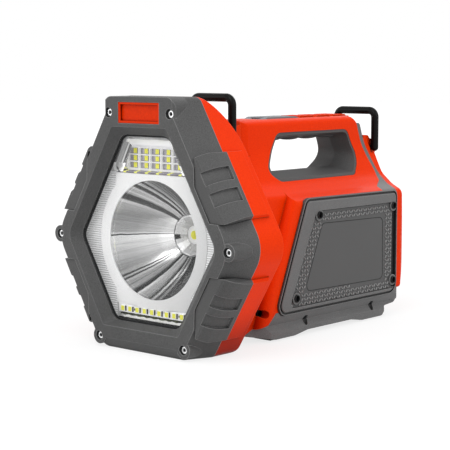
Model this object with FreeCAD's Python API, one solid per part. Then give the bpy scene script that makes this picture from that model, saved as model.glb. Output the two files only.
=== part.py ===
import FreeCAD, Part
import math
import os

Vector = FreeCAD.Vector

# Rechargeable spotlight and work light with a hexagonal lamp head, a carry handle and two wire bails.
# All sizes are in millimetres. While a piece is drawn, x is to the right seen from the front, y runs back
# from the front rim, and z is up from the floor. Each piece is moved to the part's origin when it is saved:
# the middle of the footprint, with the lamp facing -y.

# Lamp head
head_half_width = 109.5      # middle to the sharp side corner
head_corner_height = 92.5    # floor to the side corners
head_height = 211.0
side_lean = 30.0             # degrees from upright
side_corner_radius = 27.0
end_corner_radius = 9.0
bezel_depth = 28.7
bezel_front_inset = 10.0     # how far the front outline lies inside the rear one
head_depth = 57.0
crown_start = 29.0           # where the top starts to fall to the rear
crown_drop = 41.0            # how far the crown's lower end lies below the top
crown_bulge = 6.5            # how far the crown's arc stands off its chord
head_heel_radius = 7.0
shell_wall = 2.6

# Bezel front
rim_side_inset = 20.9        # hexagon where the flat rim ends, measured in from the rear outline
rim_top_inset = 24.8
rim_bottom_inset = 19.5
opening_side_inset = 28.1    # lens opening
opening_top_inset = 31.3
opening_bottom_inset = 23.6
opening_corner_radius = 11.0
funnel_depth = 7.5
lip_thickness = 1.8
bezel_wall = 3.2
toe_height = 9.0             # chamfer under the rim
toe_depth = 7.0
brow_inset = 0.885           # block that carries the two upper screws, in from the outline's top corner
brow_height = 25.0
brow_chamfer = 2.2
badge_half_width = 23.4
badge_drop = 4.5             # badge recess below the top
badge_height = 17.3
badge_depth = 3.0
badge_border = 2.0
badge_sink = 1.2

# Bezel screws
upper_screw_inset = 6.385    # in from the outline's top corner, and down from the top
upper_screw_drop = 13.3
side_screw_inset = 13.7      # in from the side corner
lower_screw_inset = 7.695    # in from the outline's bottom corner, and up from the floor
lower_screw_rise = 9.6
ear_radius = 7.1
ear_front = 0.8
ear_depth = 22.0
screw_head_radius = 2.75
screw_head_height = 3.0
screw_shank_radius = 1.5
socket_radius = 1.45
screw_well_radius = 4.1
screw_well_depth = 4.4
boss_radius = 5.0
screw_length = 26.0
thread_play = 0.05
shank_play = 0.2

# Bumpers and the matching steps on the head shell, measured along a slanted side from its side corner
bumper_proud = 3.7
bumper_start = 27.5
bumper_end = 86.5
bumper_face = 1.0            # how far the front face sits behind the rim
bumper_back = 4.5            # depth of the part that wraps over the rim
bumper_inner = 17.0          # from the head's outline in to the wrap's inner edge
bumper_taper_start = 66.0    # where the wrap starts to run out to the side
bumper_taper_end = 6.0
bumper_heel = 5.0            # where its level end near the side corner starts
bumper_nose = [(-6.5, 1.0), (-4.6, 1.8), (-1.9, 4.9), (0.9, 9.5), (2.9, 17.0), (bumper_proud, 25.5)]
bumper_seat = 1.0
bumper_clearance = 0.3
bumper_slope = 4.0
window_places = ((43.0, 54.5), (61.5, 73.0))
window_rear = 24.0
window_depth = 2.4
step_rear = 51.0

# Lens, frame and lamps
gasket_thickness = 1.0
gasket_overhang = 1.6
lens_thickness = 2.5
seat_width = 4.0
plate_front = 15.6
plate_thickness = 0.8
frame_thickness = 2.0
frame_side_inset = 11.0
frame_top_inset = 24.0
frame_bottom_inset = 15.0
spot_lift = 0.1              # lamp's axis above the side corners
spot_radius = 49.6
ring_width = 9.4
band_half_width = 42.0
band_rise = 54.4             # band's ends above and below the lamp's axis
band_fall = 55.6
spot_vertex_depth = 67.7
collar_front = 60.8
collar_sides = 12
collar_hole_radius = 8.0
collar_rear = 66.4
reflector_wall = 1.4
fit_gap = 0.3
star_radius = 20.0
star_front = 66.9
star_thickness = 1.5
emitter_radius = 3.7
emitter_height = 1.3
upper_led_pitch = 12.7
upper_led_columns = 5
upper_led_rows = 3
upper_led_line = 5.9         # from row to row
upper_led_rise = 6.7         # lowest row above the band
led_width = 5.6
led_height = 4.2
led_thickness = 1.0
upper_tray_depth = 8.2
upper_tray_height = 29.6
upper_tray_floor = 3.0       # rear edges of the mirrored walls above the band
upper_tray_ceiling = 22.6
tray_wall = 1.0
tray_flange = 3.0
board_thickness = 1.6
lower_led_pitch = 8.5
lower_led_count = 9
lower_led_drop = 4.2         # row of LEDs below the band
lower_led_width = 4.0
lower_board_half_width = 40.0
channel_drop = 9.8           # mirrored wall's lower edge below the LEDs

# Heat sink
sink_flange_thickness = 3.0
sink_wall = 2.5
sink_flange_width = 6.0
sink_base_thickness = 3.6
sink_fin_count = 9
sink_fin_thickness = 1.6
sink_rear = 91.0

# Body
body_front = 57.0
handle_half_width = 19.5
handle_top = 189.0
handle_edge_radius = 6.0
neck_half_width = 42.0
body_half_width = 52.0
shoulder_height = 119.0
shoulder_radius = 7.0
neck_top = 152.0
post_front = 104.0
post_chamfer = 10.0
swell_lean = 22.3            # degrees, front edge of the wide body and of the side panel
swell_offset = 13.0
swell_radius = 9.0
skin_rear = 290.8
base_top = 25.0
wall = 2.6
front_wall = 3.0

# Hand hole, in side view
hole_top = 177.0
hole_bottom = 134.5
hole_front = 133.8           # the hole's front and rear tips
hole_front_rise = 8.8        # above the hole's bottom
hole_rear = 270.0
hole_rear_rise = 15.5
hole_front_slant = 18.9      # from a tip to the corners above and below it
hole_front_heel = 12.7
hole_rear_slant = 14.0
hole_corner_radius = 9.0
liner_ends = 4.0             # thickness of the grip lining at the middle
liner_top = 7.0
liner_flare = 1.9
liner_lip = 0.9              # lining left at the mouth's tips and bottom

# Handle top
pad_front = 140.5
pad_rear = 194.0
cap_rear = 268.0
strip_half_width = 12.5
strip_depth = 1.4
pad_rise = 1.6
ridge_count = 3
ridge_rise = 1.6
ridge_gap = 2.6
button_radius = 8.0
button_height = 1.5
button_travel = 1.0
button_gap = 0.3
stem_radius = 3.0
stem_length = 4.5
button_places = (153.5, 181.0)

# Side panels
panel_front_low = 110.5      # where the panel's front edge would meet its lower edge
panel_low = 21.5
panel_high = 121.5
panel_gap = 0.3
panel_rim = 0.8              # raised rim round the panel, and the open groove inside it
panel_rim_drop = 0.9
panel_groove = 1.9
panel_groove_depth = 2.6
panel_rear_gap = 0.4
panel_rise = 3.0
panel_sink = 1.4
panel_radius_low = 9.0
panel_radius_high = 8.0
panel_recess = 1.5
recess_front_low = 15.0      # from the panel's slanted edge, and from its other edges
recess_front_high = 18.6
recess_top = 12.2
recess_bottom = 5.6
recess_rear = 2.0
slot_width = 6.8             # deep groove along the recess's rear edge
slot_depth = 2.6
panel_boss_radius = 5.1
panel_screw_low = 35.0
panel_screw_high = 105.4
panel_screw_front_low = 21.6     # from the slanted edge
panel_screw_front_high = 24.4
panel_screw_rear = 8.2
panel_well_radius = 3.3
panel_screw_sink = 2.2       # depth of a screw's seat under the panel's face

# Base
base_bottom = 4.2
base_toe_bottom = 1.4
base_front = 78.0
base_rear = 303.4
base_runner_rear = 277.0
base_lip_bottom = 10.0
base_waist = 47.0            # half width halfway down
base_foot_half_width = 50.0
base_corner_radius = 14.0
foot_length = 16.0
foot_width = 18.0
foot_inset = 5.5             # from the runner's edge
foot_pocket = 1.2
foot_tooth = 2.0
foot_tooth_depth = 0.9
front_foot_middle = 122.0
rear_foot_middle = 253.0
base_screw_places = (158.5, 257.5)
base_screw_x = 46.5
base_screw_seat = 17.0
base_boss_height = 10.0
base_well_radius = 3.3

# Rear frame and rear cover
frame_strip_low = 1.8        # visible depth of the frame beside the panels
cover_rear = 304.4
cover_crown = 1.5
cover_crown_depth = 4.0
cover_side_inset = 0.4
cover_flat = (50.0, 90.0)    # heights between which the cover's rear is flat
port_half_width = 21.0
port_low = 58.0
port_high = 80.0
port_depth = 4.0
port_gap = 0.4
flap_thickness = 2.4
flap_hinge_radius = 1.6
flap_pin_radius = 0.8
pin_play = 0.05
socket_block_depth = 14.0
jack_radius = 3.2
usb_width = 13.4
usb_height = 6.0
socket_spacing = 20.0
socket_depth = 9.0

# Bails
bail_rod = 3.6               # radius of the coated rod
bail_length = 35.1           # pin to the middle of the top bar
bail_bend = 6.5
bail_pin_radius = 2.5
bail_gap = 0.6
bail_relief = 1.2            # free space under a bail's round ends
bail_lean = 27.0             # degrees it can lean forward past the rear cover
bail_pin_grip = 8.0
lug_radius = 8.0
lug_half_width = 18.0
front_bail_y = 90.0
front_bail_z = 173.8
rear_bail_y = 297.0
rear_bail_z = 158.0

# Inside the body
cell_radius = 9.2
cell_length = 65.0
cell_pitch = 19.6
cell_columns = 5
cell_rows = 2
cells_front = 152.0
holder_thickness = 6.0
holder_grip = 4.0
holder_wall = 2.0
board_gap = 10.0
control_board_length = 90.0
control_board_width = 60.0

overall_length = cover_rear
past_sides = body_half_width + 8.0   # half width of blocks that reach through the whole body
tan_lean = math.tan(math.radians(side_lean))
cos_lean = math.cos(math.radians(side_lean))
badge_high = head_height - badge_drop
badge_low = badge_high - badge_height
spot_height = head_corner_height + spot_lift
band_top = spot_height + band_rise
band_bottom = spot_height - band_fall
lower_led_height = band_bottom - lower_led_drop
channel_low = lower_led_height - channel_drop


def in_front_view(y):
    return lambda u, v: Vector(u, y, v)


def in_side_view(x):
    return lambda u, v: Vector(x, u, v)


def in_top_view(z):
    return lambda u, v: Vector(u, v, z)


def outline(points, radii, place):
    """Closed wire through the points, each corner rounded by its own radius."""
    count = len(points)
    if not isinstance(radii, (list, tuple)):
        radii = [radii] * count
    corners = []
    for index in range(count):
        here = Vector(*points[index], 0)
        before = (Vector(*points[index - 1], 0) - here).normalize()
        after = (Vector(*points[(index + 1) % count], 0) - here).normalize()
        half = before.getAngle(after) / 2
        radius = radii[index]
        if radius <= 0 or half > math.pi / 2 - 0.001:
            corners.append((here, None, here))
            continue
        reach = radius / math.tan(half)
        bisector = (before + after).normalize()
        middle = here + bisector * (radius / math.sin(half) - radius)
        corners.append((here + before * reach, middle, here + after * reach))
    edges = []
    for index in range(count):
        start, middle, end = [place(p.x, p.y) if p is not None else None for p in corners[index]]
        if middle is not None:
            edges.append(Part.Arc(start, middle, end).toShape())
        following = corners[(index + 1) % count][0]
        target = place(following.x, following.y)
        if end.distanceToPoint(target) > 0.0001:
            edges.append(Part.LineSegment(end, target).toShape())
    return Part.Wire(edges)


def inset(points, distance):
    """The same outline with every side moved inwards, by one distance or by one for each side."""
    count = len(points)
    distances = distance if isinstance(distance, list) else [distance] * count
    area = sum(points[i - 1][0] * points[i][1] - points[i][0] * points[i - 1][1] for i in range(count))
    turn = 1 if area > 0 else -1
    lines = []
    for index in range(count):
        ax, ay = points[index - 1]
        bx, by = points[index]
        length = math.hypot(bx - ax, by - ay)
        nx = -(by - ay) / length * turn
        ny = (bx - ax) / length * turn
        lines.append((nx, ny, nx * ax + ny * ay + distances[index]))
    moved = []
    for index in range(count):
        a1, b1, c1 = lines[index]
        a2, b2, c2 = lines[(index + 1) % count]
        across = a1 * b2 - a2 * b1
        moved.append(((c1 * b2 - c2 * b1) / across, (a1 * c2 - a2 * c1) / across))
    return moved


def smaller(radii, distance):
    """Corner radii of an outline that was set in by the distance."""
    return [max(radius - distance, 0.5) if radius > 0 else 0 for radius in radii]


def prism_front(points, radii, y0, y1):
    face = Part.Face(outline(points, radii, in_front_view(y0)))
    return face.extrude(Vector(0, y1 - y0, 0))


def prism_side(points, radii, x0, x1):
    face = Part.Face(outline(points, radii, in_side_view(x0)))
    return face.extrude(Vector(x1 - x0, 0, 0))


def prism_top(points, radii, z0, z1):
    face = Part.Face(outline(points, radii, in_top_view(z0)))
    return face.extrude(Vector(0, 0, z1 - z0))


def loft_front(first, first_radii, y0, second, second_radii, y1):
    wires = [outline(first, first_radii, in_front_view(y0)), outline(second, second_radii, in_front_view(y1))]
    return Part.makeLoft(wires, True, True)


def box(x0, x1, y0, y1, z0, z1):
    return Part.makeBox(x1 - x0, y1 - y0, z1 - z0, Vector(x0, y0, z0))


def rod_x(radius, x0, x1, y, z):
    return Part.makeCylinder(radius, x1 - x0, Vector(x0, y, z), Vector(1, 0, 0))


def rod_y(radius, y0, y1, x, z):
    return Part.makeCylinder(radius, y1 - y0, Vector(x, y0, z), Vector(0, 1, 0))


def rod_z(radius, z0, z1, x, y):
    return Part.makeCylinder(radius, z1 - z0, Vector(x, y, z0), Vector(0, 0, 1))


def fused(shapes):
    first = shapes[0]
    return first.fuse(list(shapes[1:])).removeSplitter() if len(shapes) > 1 else first


def mirrored(shape):
    return shape.mirror(Vector(0, 0, 0), Vector(1, 0, 0))


def both_sides(half):
    """A full front outline from its right half, listed from top to bottom."""
    return half + [(-x, z) for x, z in reversed(half)]


# Lamp head

def hexagon(side_inset, top_inset, bottom_inset):
    """Corners of the head's outline, each side set in by its own distance."""
    top = head_height - top_inset
    corner = head_half_width - side_inset / cos_lean
    at_top = corner - tan_lean * (top - head_corner_height)
    at_bottom = corner - tan_lean * (head_corner_height - bottom_inset)
    return both_sides([(at_top, top), (corner, head_corner_height), (at_bottom, bottom_inset)])


def hexagon_radii(end_radius, side_radius):
    half = [end_radius, side_radius, end_radius]
    return half + half


head_outline = hexagon(0, 0, 0)
head_radii = hexagon_radii(end_corner_radius, side_corner_radius)
opening_outline = hexagon(opening_side_inset, opening_top_inset, opening_bottom_inset)
opening_radii = hexagon_radii(opening_corner_radius, opening_corner_radius)
lip_rear = funnel_depth + lip_thickness
top_corner = head_outline[0][0]
bottom_corner = head_outline[2][0]
brow_half_width = top_corner - brow_inset
bezel_screw_places = [(side * x, z) for x, z in (
    (top_corner - upper_screw_inset, head_height - upper_screw_drop),
    (head_half_width - side_screw_inset, head_corner_height - 0.1),
    (bottom_corner - lower_screw_inset, lower_screw_rise)) for side in (1, -1)]


def slanted(shape, right, upper):
    """Move a shape drawn with x out of the side, y back and z along the side onto a slanted side."""
    onto = FreeCAD.Placement(Vector(head_half_width, 0, head_corner_height),
                             FreeCAD.Rotation(Vector(0, 1, 0), -side_lean))
    placed = shape.transformed(onto.toMatrix(), True)
    if not upper:
        placed = placed.mirror(Vector(0, 0, head_corner_height), Vector(0, 0, 1))
    if not right:
        placed = mirrored(placed)
    return placed


def side_face(y):
    """How far the bezel's slanted side lies inside the head's outline at a depth."""
    return -bezel_front_inset * (1 - y / bezel_depth)


def along_side(points, start, end):
    """Section drawn with x out of the side and y back, run along the side."""
    return Part.Face(outline(points, 0, in_top_view(start))).extrude(Vector(0, 0, end - start))


def across_side(points, y0, y1):
    """Shape drawn with x out of the side and z along it, run from front to rear."""
    return Part.Face(outline(points, 0, in_front_view(y0))).extrude(Vector(0, y1 - y0, 0))


def bumper_front(grow, y0, y1):
    """Outline of the bumper seen from the front, run from one depth to another."""
    inner = -bumper_inner - grow
    low = bumper_start - grow
    high = bumper_end + grow
    out = bumper_proud + 15.0
    level = low + (bumper_inner + grow - bumper_heel) * tan_lean
    return across_side([(-bumper_heel, low), (out, low), (out, high), (-bumper_taper_end - grow, high),
                        (inner, bumper_taper_start + grow), (inner, level)], y0, y1)


def bumper_blank(grow, rise):
    """Bumper without its windows: it wraps from the rim's face over the slanted side."""
    inner = -bumper_inner - grow
    back = bumper_back + grow
    seat = -bumper_seat - grow
    section = [(inner, back), (inner, bumper_face)]
    section += [(n + rise, y) for n, y in bumper_nose] + [(bumper_proud + rise, bezel_depth)]
    section += [(seat, bezel_depth), (side_face(back) + seat, back)]
    block = along_side(section, bumper_start - grow, bumper_end + grow)
    return block.common(bumper_front(grow, bumper_face - 1, bezel_depth + 1))


def end_bevels(top):
    """Wedges that slope both ends of a block along a slanted side."""
    reach = bumper_proud + 8.0
    depth = head_depth + 10.0
    wedges = []
    for place, way in ((bumper_start, 1), (bumper_end, -1)):
        section = [(top - bumper_proud * 0.9, place - 0.5 * way), (top + reach, place - 0.5 * way),
                   (top + reach, place + (bumper_slope + reach) * 0.5 * way)]
        wedges.append(across_side(section, -5.0, depth))
    return wedges


def bumper(right, upper):
    blank = bumper_blank(0, 0)
    for wedge in end_bevels(bumper_proud):
        blank = blank.cut(wedge)
    sunk = [(n - window_depth, y) for n, y in bumper_nose[1:-1]]
    for start, end in window_places:
        section = sunk + [(bumper_proud - window_depth, window_rear), (bumper_proud + 2, window_rear + 1.5),
                          (bumper_proud + 2, bumper_face - 1), (sunk[0][0], bumper_face - 1)]
        blank = blank.cut(along_side(section, start, end))
    return slanted(blank, right, upper)


def front_bezel():
    front = hexagon(bezel_front_inset, 0, 0)
    body = loft_front(front, hexagon_radii(end_corner_radius, side_corner_radius), 0,
                      head_outline, head_radii, bezel_depth)
    toe_points = [(-1, -1), (toe_depth * (1 + 1 / toe_height), -1), (-1, toe_height * (1 + 1 / toe_depth))]
    toe = prism_side(toe_points, 0, -head_half_width, head_half_width)
    body = body.cut(toe)
    brow_low = head_height - brow_height
    brow = prism_front(both_sides([(brow_half_width, head_height), (brow_half_width, brow_low + 7),
                                   (brow_half_width - 4, brow_low)]),
                       [end_corner_radius, 3, 0, 0, 3, end_corner_radius], 0, bezel_depth)
    brow_plan = [(-brow_half_width, brow_chamfer), (brow_chamfer - brow_half_width, 0),
                 (brow_half_width - brow_chamfer, 0), (brow_half_width, brow_chamfer),
                 (brow_half_width, bezel_depth), (-brow_half_width, bezel_depth)]
    brow = brow.common(prism_top(brow_plan, 0, 0, head_height))
    ears = [rod_y(ear_radius, ear_front, ear_depth, x, z) for x, z in bezel_screw_places[2:]]
    body = fused([body, brow] + ears)
    rim = hexagon(rim_side_inset, rim_top_inset, rim_bottom_inset)
    steps = 0.02
    body = body.cut(loft_front(rim, hexagon_radii(3, 14), -steps,
                               opening_outline, opening_radii, funnel_depth))
    body = body.cut(prism_front(opening_outline, opening_radii, funnel_depth - steps, lip_rear + steps))
    cavity = loft_front(
        hexagon(-side_face(lip_rear) + bezel_wall, bezel_wall, bezel_wall + 1),
        smaller(head_radii, bezel_wall), lip_rear,
        hexagon(bezel_wall, bezel_wall, bezel_wall + 1), smaller(head_radii, bezel_wall), bezel_depth)
    badge_block = box(-badge_half_width - 3, badge_half_width + 3, 0, lip_rear + 1,
                      badge_low - 3, badge_high + 3)
    body = body.cut(cavity.cut(badge_block))
    bosses = [rod_y(boss_radius, lip_rear - 2, bezel_depth, x, z) for x, z in bezel_screw_places]
    outside = loft_front(front, head_radii, 0, head_outline, head_radii, bezel_depth)
    body = fused([body] + [boss.common(outside) for boss in bosses])
    pockets = [box(-badge_half_width, badge_half_width, -1, badge_depth, badge_low, badge_high)]
    for x, z in bezel_screw_places:
        pockets.append(rod_y(screw_well_radius, -1, ear_front + screw_well_depth, x, z))
        pockets.append(rod_y(screw_shank_radius + shank_play, -1, bezel_depth + 1, x, z))
    for right in (True, False):
        for upper in (True, False):
            pocket = bumper_blank(bumper_clearance, 12.0)
            face = bumper_front(bumper_clearance, -1, bumper_face + 0.5)
            pockets.append(slanted(fused([pocket, face]), right, upper))
    return body.cut(pockets)


def bezel_screws():
    screws = []
    seat = ear_front + screw_well_depth
    for x, z in bezel_screw_places:
        head = rod_y(screw_head_radius, seat - screw_head_height, seat, x, z)
        socket = Part.Face(outline([(x + socket_radius * math.cos(math.radians(60 * k)),
                                     z + socket_radius * math.sin(math.radians(60 * k))) for k in range(6)],
                                   0, in_front_view(seat - screw_head_height - 1)))
        head = head.cut(socket.extrude(Vector(0, 2.8, 0)))
        shank = rod_y(screw_shank_radius, seat, seat + screw_length, x, z)
        screws.append(head.fuse(shank).removeSplitter())
    return Part.makeCompound(screws)


def badge_insert():
    plate = box(-badge_half_width + 0.2, badge_half_width - 0.2, 0.4, badge_depth,
                badge_low + 0.2, badge_high - 0.2)
    field = box(-badge_half_width + badge_border, badge_half_width - badge_border, -1, 0.4 + badge_sink,
                badge_low + badge_border, badge_high - badge_border)
    return plate.cut(field)


def lens_outline():
    return hexagon(opening_side_inset - seat_width, opening_top_inset - seat_width,
                   opening_bottom_inset - seat_width)


def lens_gasket():
    outer = prism_front(lens_outline(), opening_radii, lip_rear, lip_rear + gasket_thickness)
    hole = hexagon(opening_side_inset + gasket_overhang, opening_top_inset + gasket_overhang,
                   opening_bottom_inset + gasket_overhang)
    inner = prism_front(hole, smaller(opening_radii, gasket_overhang), 0, plate_front)
    return outer.cut(inner)


def lens():
    front = lip_rear + gasket_thickness
    return prism_front(lens_outline(), opening_radii, front, front + lens_thickness)


def reflector_radius_at(y):
    """Radius of the spot reflector's parabola at a depth."""
    front = plate_front + plate_thickness
    return spot_radius * math.sqrt((spot_vertex_depth - y) / (spot_vertex_depth - front))


tray_low = band_top + 0.4
tray_high = tray_low + upper_tray_height
tray_floor = band_top + upper_tray_floor
tray_ceiling = band_top + upper_tray_ceiling
upper_tray_front = [(-41.0, tray_low), (41.0, tray_low), (29.5, tray_high), (-29.5, tray_high)]
upper_tray_rear = [(-33.0, tray_floor), (33.0, tray_floor), (31.0, tray_ceiling), (-31.0, tray_ceiling)]
frame_front = plate_front + plate_thickness
frame_rear = frame_front + frame_thickness


def lamp_frame():
    plate = prism_front(hexagon(frame_side_inset, frame_top_inset, frame_bottom_inset),
                        smaller(head_radii, frame_side_inset), frame_front, frame_rear)
    spot = rod_y(spot_radius + reflector_wall + fit_gap, frame_front - 1, frame_rear + 1, 0, spot_height)
    tray = prism_front(inset(upper_tray_front, -fit_gap), 0, frame_front - 1, frame_rear + 1)
    bosses = [rod_y(boss_radius + fit_gap, frame_front - 1, frame_rear + 1, x, z)
              for x, z in bezel_screw_places]
    return plate.cut([spot, tray] + bosses)


def ring_plate():
    ring = rod_y(spot_radius + ring_width, plate_front, frame_front, 0, spot_height)
    band = box(-band_half_width, band_half_width, plate_front, frame_front, band_bottom, band_top)
    hole = rod_y(spot_radius, plate_front - 1, frame_front + 1, 0, spot_height)
    return fused([ring, band]).cut(hole)


def spot_reflector():
    front = frame_front + 0.1
    depths = [front + (collar_front - front) * k / 6.0 for k in range(7)]
    inner = [Vector(reflector_radius_at(y), y, 0) for y in depths]
    outer = [Vector(reflector_radius_at(y) + reflector_wall, y, 0) for y in depths]
    inner_curve = Part.BSplineCurve()
    inner_curve.interpolate(inner)
    outer_curve = Part.BSplineCurve()
    outer_curve.interpolate(outer)
    wire = Part.Wire([inner_curve.toShape(), Part.LineSegment(inner[-1], outer[-1]).toShape(),
                      outer_curve.toShape(), Part.LineSegment(outer[0], inner[0]).toShape()])
    bowl = Part.Face(wire).revolve(Vector(0, 0, 0), Vector(0, 1, 0), 360)
    bowl.translate(Vector(0, 0, spot_height))
    flange = rod_y(spot_radius + 7, frame_rear + 0.1, frame_rear + 1.5, 0, spot_height)
    flange = flange.cut([rod_y(reflector_radius_at(frame_rear + 1.5) + 0.4, 0, collar_front, 0, spot_height),
                         prism_front(inset(upper_tray_front, -tray_flange - fit_gap), 0, 0, collar_front)])
    return fused([Part.Solid(bowl) if bowl.ShapeType == "Shell" else bowl, flange])


def polygon(radius, sides):
    turns = [2 * math.pi * k / sides for k in range(sides)]
    return [(radius * math.cos(turn), spot_height + radius * math.sin(turn)) for turn in turns]


def reflector_collar():
    """Faceted funnel that carries the beam from the emitter to the bowl."""
    mouth = reflector_radius_at(collar_front) - fit_gap
    outer = loft_front(polygon(mouth, collar_sides), 0, collar_front,
                       polygon(collar_hole_radius + reflector_wall, collar_sides), 0, collar_rear)
    inner = loft_front(polygon(mouth - reflector_wall, collar_sides), 0, collar_front - 0.01,
                       polygon(collar_hole_radius, collar_sides), 0, collar_rear + 0.01)
    foot = rod_y(mouth, collar_rear, star_front, 0, spot_height)
    foot = foot.cut(rod_y(collar_hole_radius, collar_rear - 1, star_front + 1, 0, spot_height))
    return fused([outer, foot]).cut(inner)


def spot_board():
    return rod_y(star_radius, star_front, star_front + star_thickness, 0, spot_height)


def spot_led():
    base = rod_y(emitter_radius, star_front - emitter_height * 0.5, star_front, 0, spot_height)
    dome = Part.makeSphere(emitter_radius * 1.6, Vector(0, star_front + emitter_radius * 1.1, spot_height))
    cap = dome.common(rod_y(emitter_radius * 0.85, star_front - emitter_height * 2, star_front,
                            0, spot_height))
    return fused([base, cap])


def upper_tray():
    rear = frame_front + upper_tray_depth
    block = prism_front(upper_tray_front, 0, frame_front, rear)
    pocket = loft_front(inset(upper_tray_front, tray_wall), 0, frame_front - 0.01,
                        upper_tray_rear, 0, rear + 0.01)
    flange = prism_front(inset(upper_tray_front, -tray_flange), 0, frame_rear, frame_rear + 1.2)
    flange = flange.cut(prism_front(upper_tray_front, 0, frame_rear - 1, frame_rear + 2))
    return fused([block, flange]).cut(pocket)


def upper_board():
    front = frame_front + upper_tray_depth
    return prism_front(inset(upper_tray_rear, -2), 1.0, front, front + board_thickness)


def upper_leds():
    front = frame_front + upper_tray_depth
    first = -upper_led_pitch * (upper_led_columns - 1) / 2
    middles = [first + upper_led_pitch * k for k in range(upper_led_columns)]
    rows = [band_top + upper_led_rise + upper_led_line * k for k in range(upper_led_rows)]
    return Part.makeCompound([
        box(x - led_width / 2, x + led_width / 2, front - led_thickness, front,
            z - led_height / 2, z + led_height / 2)
        for z in rows for x in middles])


def lower_board():
    board = box(-lower_board_half_width, lower_board_half_width, plate_front, frame_front,
                lower_led_height - 3.4, band_bottom - 0.2)
    return board.cut(rod_y(spot_radius + ring_width + fit_gap, plate_front - 1, frame_front + 1,
                           0, spot_height))


def lower_leds():
    first = -lower_led_pitch * (lower_led_count - 1) / 2
    middles = [first + lower_led_pitch * k for k in range(lower_led_count)]
    return Part.makeCompound([
        box(x - lower_led_width / 2, x + lower_led_width / 2, plate_front - led_thickness, plate_front,
            lower_led_height - led_height / 2, lower_led_height + led_height / 2)
        for x in middles])


def lower_tray():
    """Mirrored wall that leans out under the lower light bar."""
    lens_rear = lip_rear + gasket_thickness + lens_thickness
    top = lower_led_height - 3.6
    section = [(frame_front, top), (lens_rear + 0.3, channel_low + 1.6), (lens_rear + 0.3, channel_low),
               (frame_front, channel_low)]
    half = lower_board_half_width - 2
    return prism_side(section, 0, -half, half)


def head_side_profile(step):
    """Side view of the head behind the bezel: flat floor, upright rear and the falling crown."""
    start = Vector(0, crown_start - step, head_height - step)
    end = Vector(0, head_depth - step, head_height - crown_drop)
    chord = end - start
    out = Vector(0, -chord.z, chord.y).normalize()
    middle = start + chord * 0.5 + out * crown_bulge
    front = bezel_depth - 5
    heel = head_heel_radius - step if step < head_heel_radius else 0.5
    rear = head_depth - step
    heel_middle = Vector(0, rear - heel * (1 - math.sqrt(0.5)), step + heel * (1 - math.sqrt(0.5)))
    edges = [
        Part.LineSegment(Vector(0, front, step), Vector(0, rear - heel, step)).toShape(),
        Part.Arc(Vector(0, rear - heel, step), heel_middle, Vector(0, rear, step + heel)).toShape(),
        Part.LineSegment(Vector(0, rear, step + heel), end).toShape(),
        Part.Arc(end, middle, start).toShape(),
        Part.LineSegment(start, Vector(0, front, head_height - step)).toShape(),
        Part.LineSegment(Vector(0, front, head_height - step), Vector(0, front, step)).toShape(),
    ]
    face = Part.Face(Part.Wire(edges))
    face.translate(Vector(-head_half_width - 5, 0, 0))
    return face.extrude(Vector(2 * head_half_width + 10, 0, 0))


head_screw_places = [(side * 31.0, spot_height + rise) for side in (1, -1) for rise in (-52.6, 47.4)]
post_places = [(side * 61.0, spot_height + up * 25.0) for side in (1, -1) for up in (1, -1)]
rear_wall_front = head_depth - shell_wall


def head_shell():
    body = prism_front(head_outline, head_radii, bezel_depth, head_depth).common(head_side_profile(0))
    steps = []
    for right in (True, False):
        for upper in (True, False):
            face = Part.Face(outline([(-1, bezel_depth), (bumper_proud, bezel_depth),
                                      (bumper_proud, step_rear - bumper_proud), (-1, step_rear + 1)],
                                     0, in_top_view(bumper_start)))
            step = face.extrude(Vector(0, 0, bumper_end - bumper_start))
            for wedge in end_bevels(bumper_proud):
                step = step.cut(wedge)
            steps.append(slanted(step, right, upper))
    body = fused([body] + steps)
    cavity = prism_front(hexagon(shell_wall, shell_wall, shell_wall), smaller(head_radii, shell_wall),
                         bezel_depth - 1, rear_wall_front).common(head_side_profile(shell_wall))
    body = body.cut(cavity)
    posts = [rod_y(4.0, frame_rear, rear_wall_front + 0.5, x, z) for x, z in post_places]
    screws = [rod_y(boss_radius, bezel_depth, head_depth - 1, x, z) for x, z in bezel_screw_places]
    hull = prism_front(head_outline, head_radii, bezel_depth, head_depth).common(head_side_profile(0))
    body = fused([body] + posts + [boss.common(hull) for boss in screws])
    bores = [rod_y(screw_shank_radius + thread_play, bezel_depth - 1, bezel_depth + 6, x, z)
             for x, z in bezel_screw_places]
    bores += [rod_y(screw_shank_radius + shank_play, head_depth - 10, head_depth + 1, x, z)
              for x, z in head_screw_places]
    opening = reflector_radius_at(rear_wall_front) + reflector_wall + 1.2
    bores.append(rod_y(opening, rear_wall_front - 2, head_depth + 1, 0, spot_height))
    return body.cut(bores)


def heat_sink():
    inner = reflector_radius_at(head_depth) + reflector_wall + 1.2
    outer = inner + sink_wall
    base_front = star_front + star_thickness
    flange = rod_y(outer + sink_flange_width, head_depth, head_depth + sink_flange_thickness, 0, spot_height)
    tube = rod_y(outer, head_depth, base_front + sink_base_thickness, 0, spot_height)
    fins = []
    pitch = 2 * outer / sink_fin_count
    for k in range(sink_fin_count):
        x = -outer + pitch * (k + 0.5)
        half = math.sqrt(outer ** 2 - (abs(x) + sink_fin_thickness / 2) ** 2)
        fins.append(box(x - sink_fin_thickness / 2, x + sink_fin_thickness / 2,
                        base_front + sink_base_thickness - 0.5, sink_rear,
                        spot_height - half, spot_height + half))
    body = fused([flange, tube] + fins)
    return body.cut(rod_y(inner, head_depth - 1, base_front, 0, spot_height))


def head_screws():
    screws = []
    for x, z in head_screw_places:
        head = rod_y(3.2, rear_wall_front - 2.4, rear_wall_front, x, z)
        shank = rod_y(screw_shank_radius, rear_wall_front, head_depth + 9, x, z)
        screws.append(head.fuse(shank).removeSplitter())
    return Part.makeCompound(screws)


# Body

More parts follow.
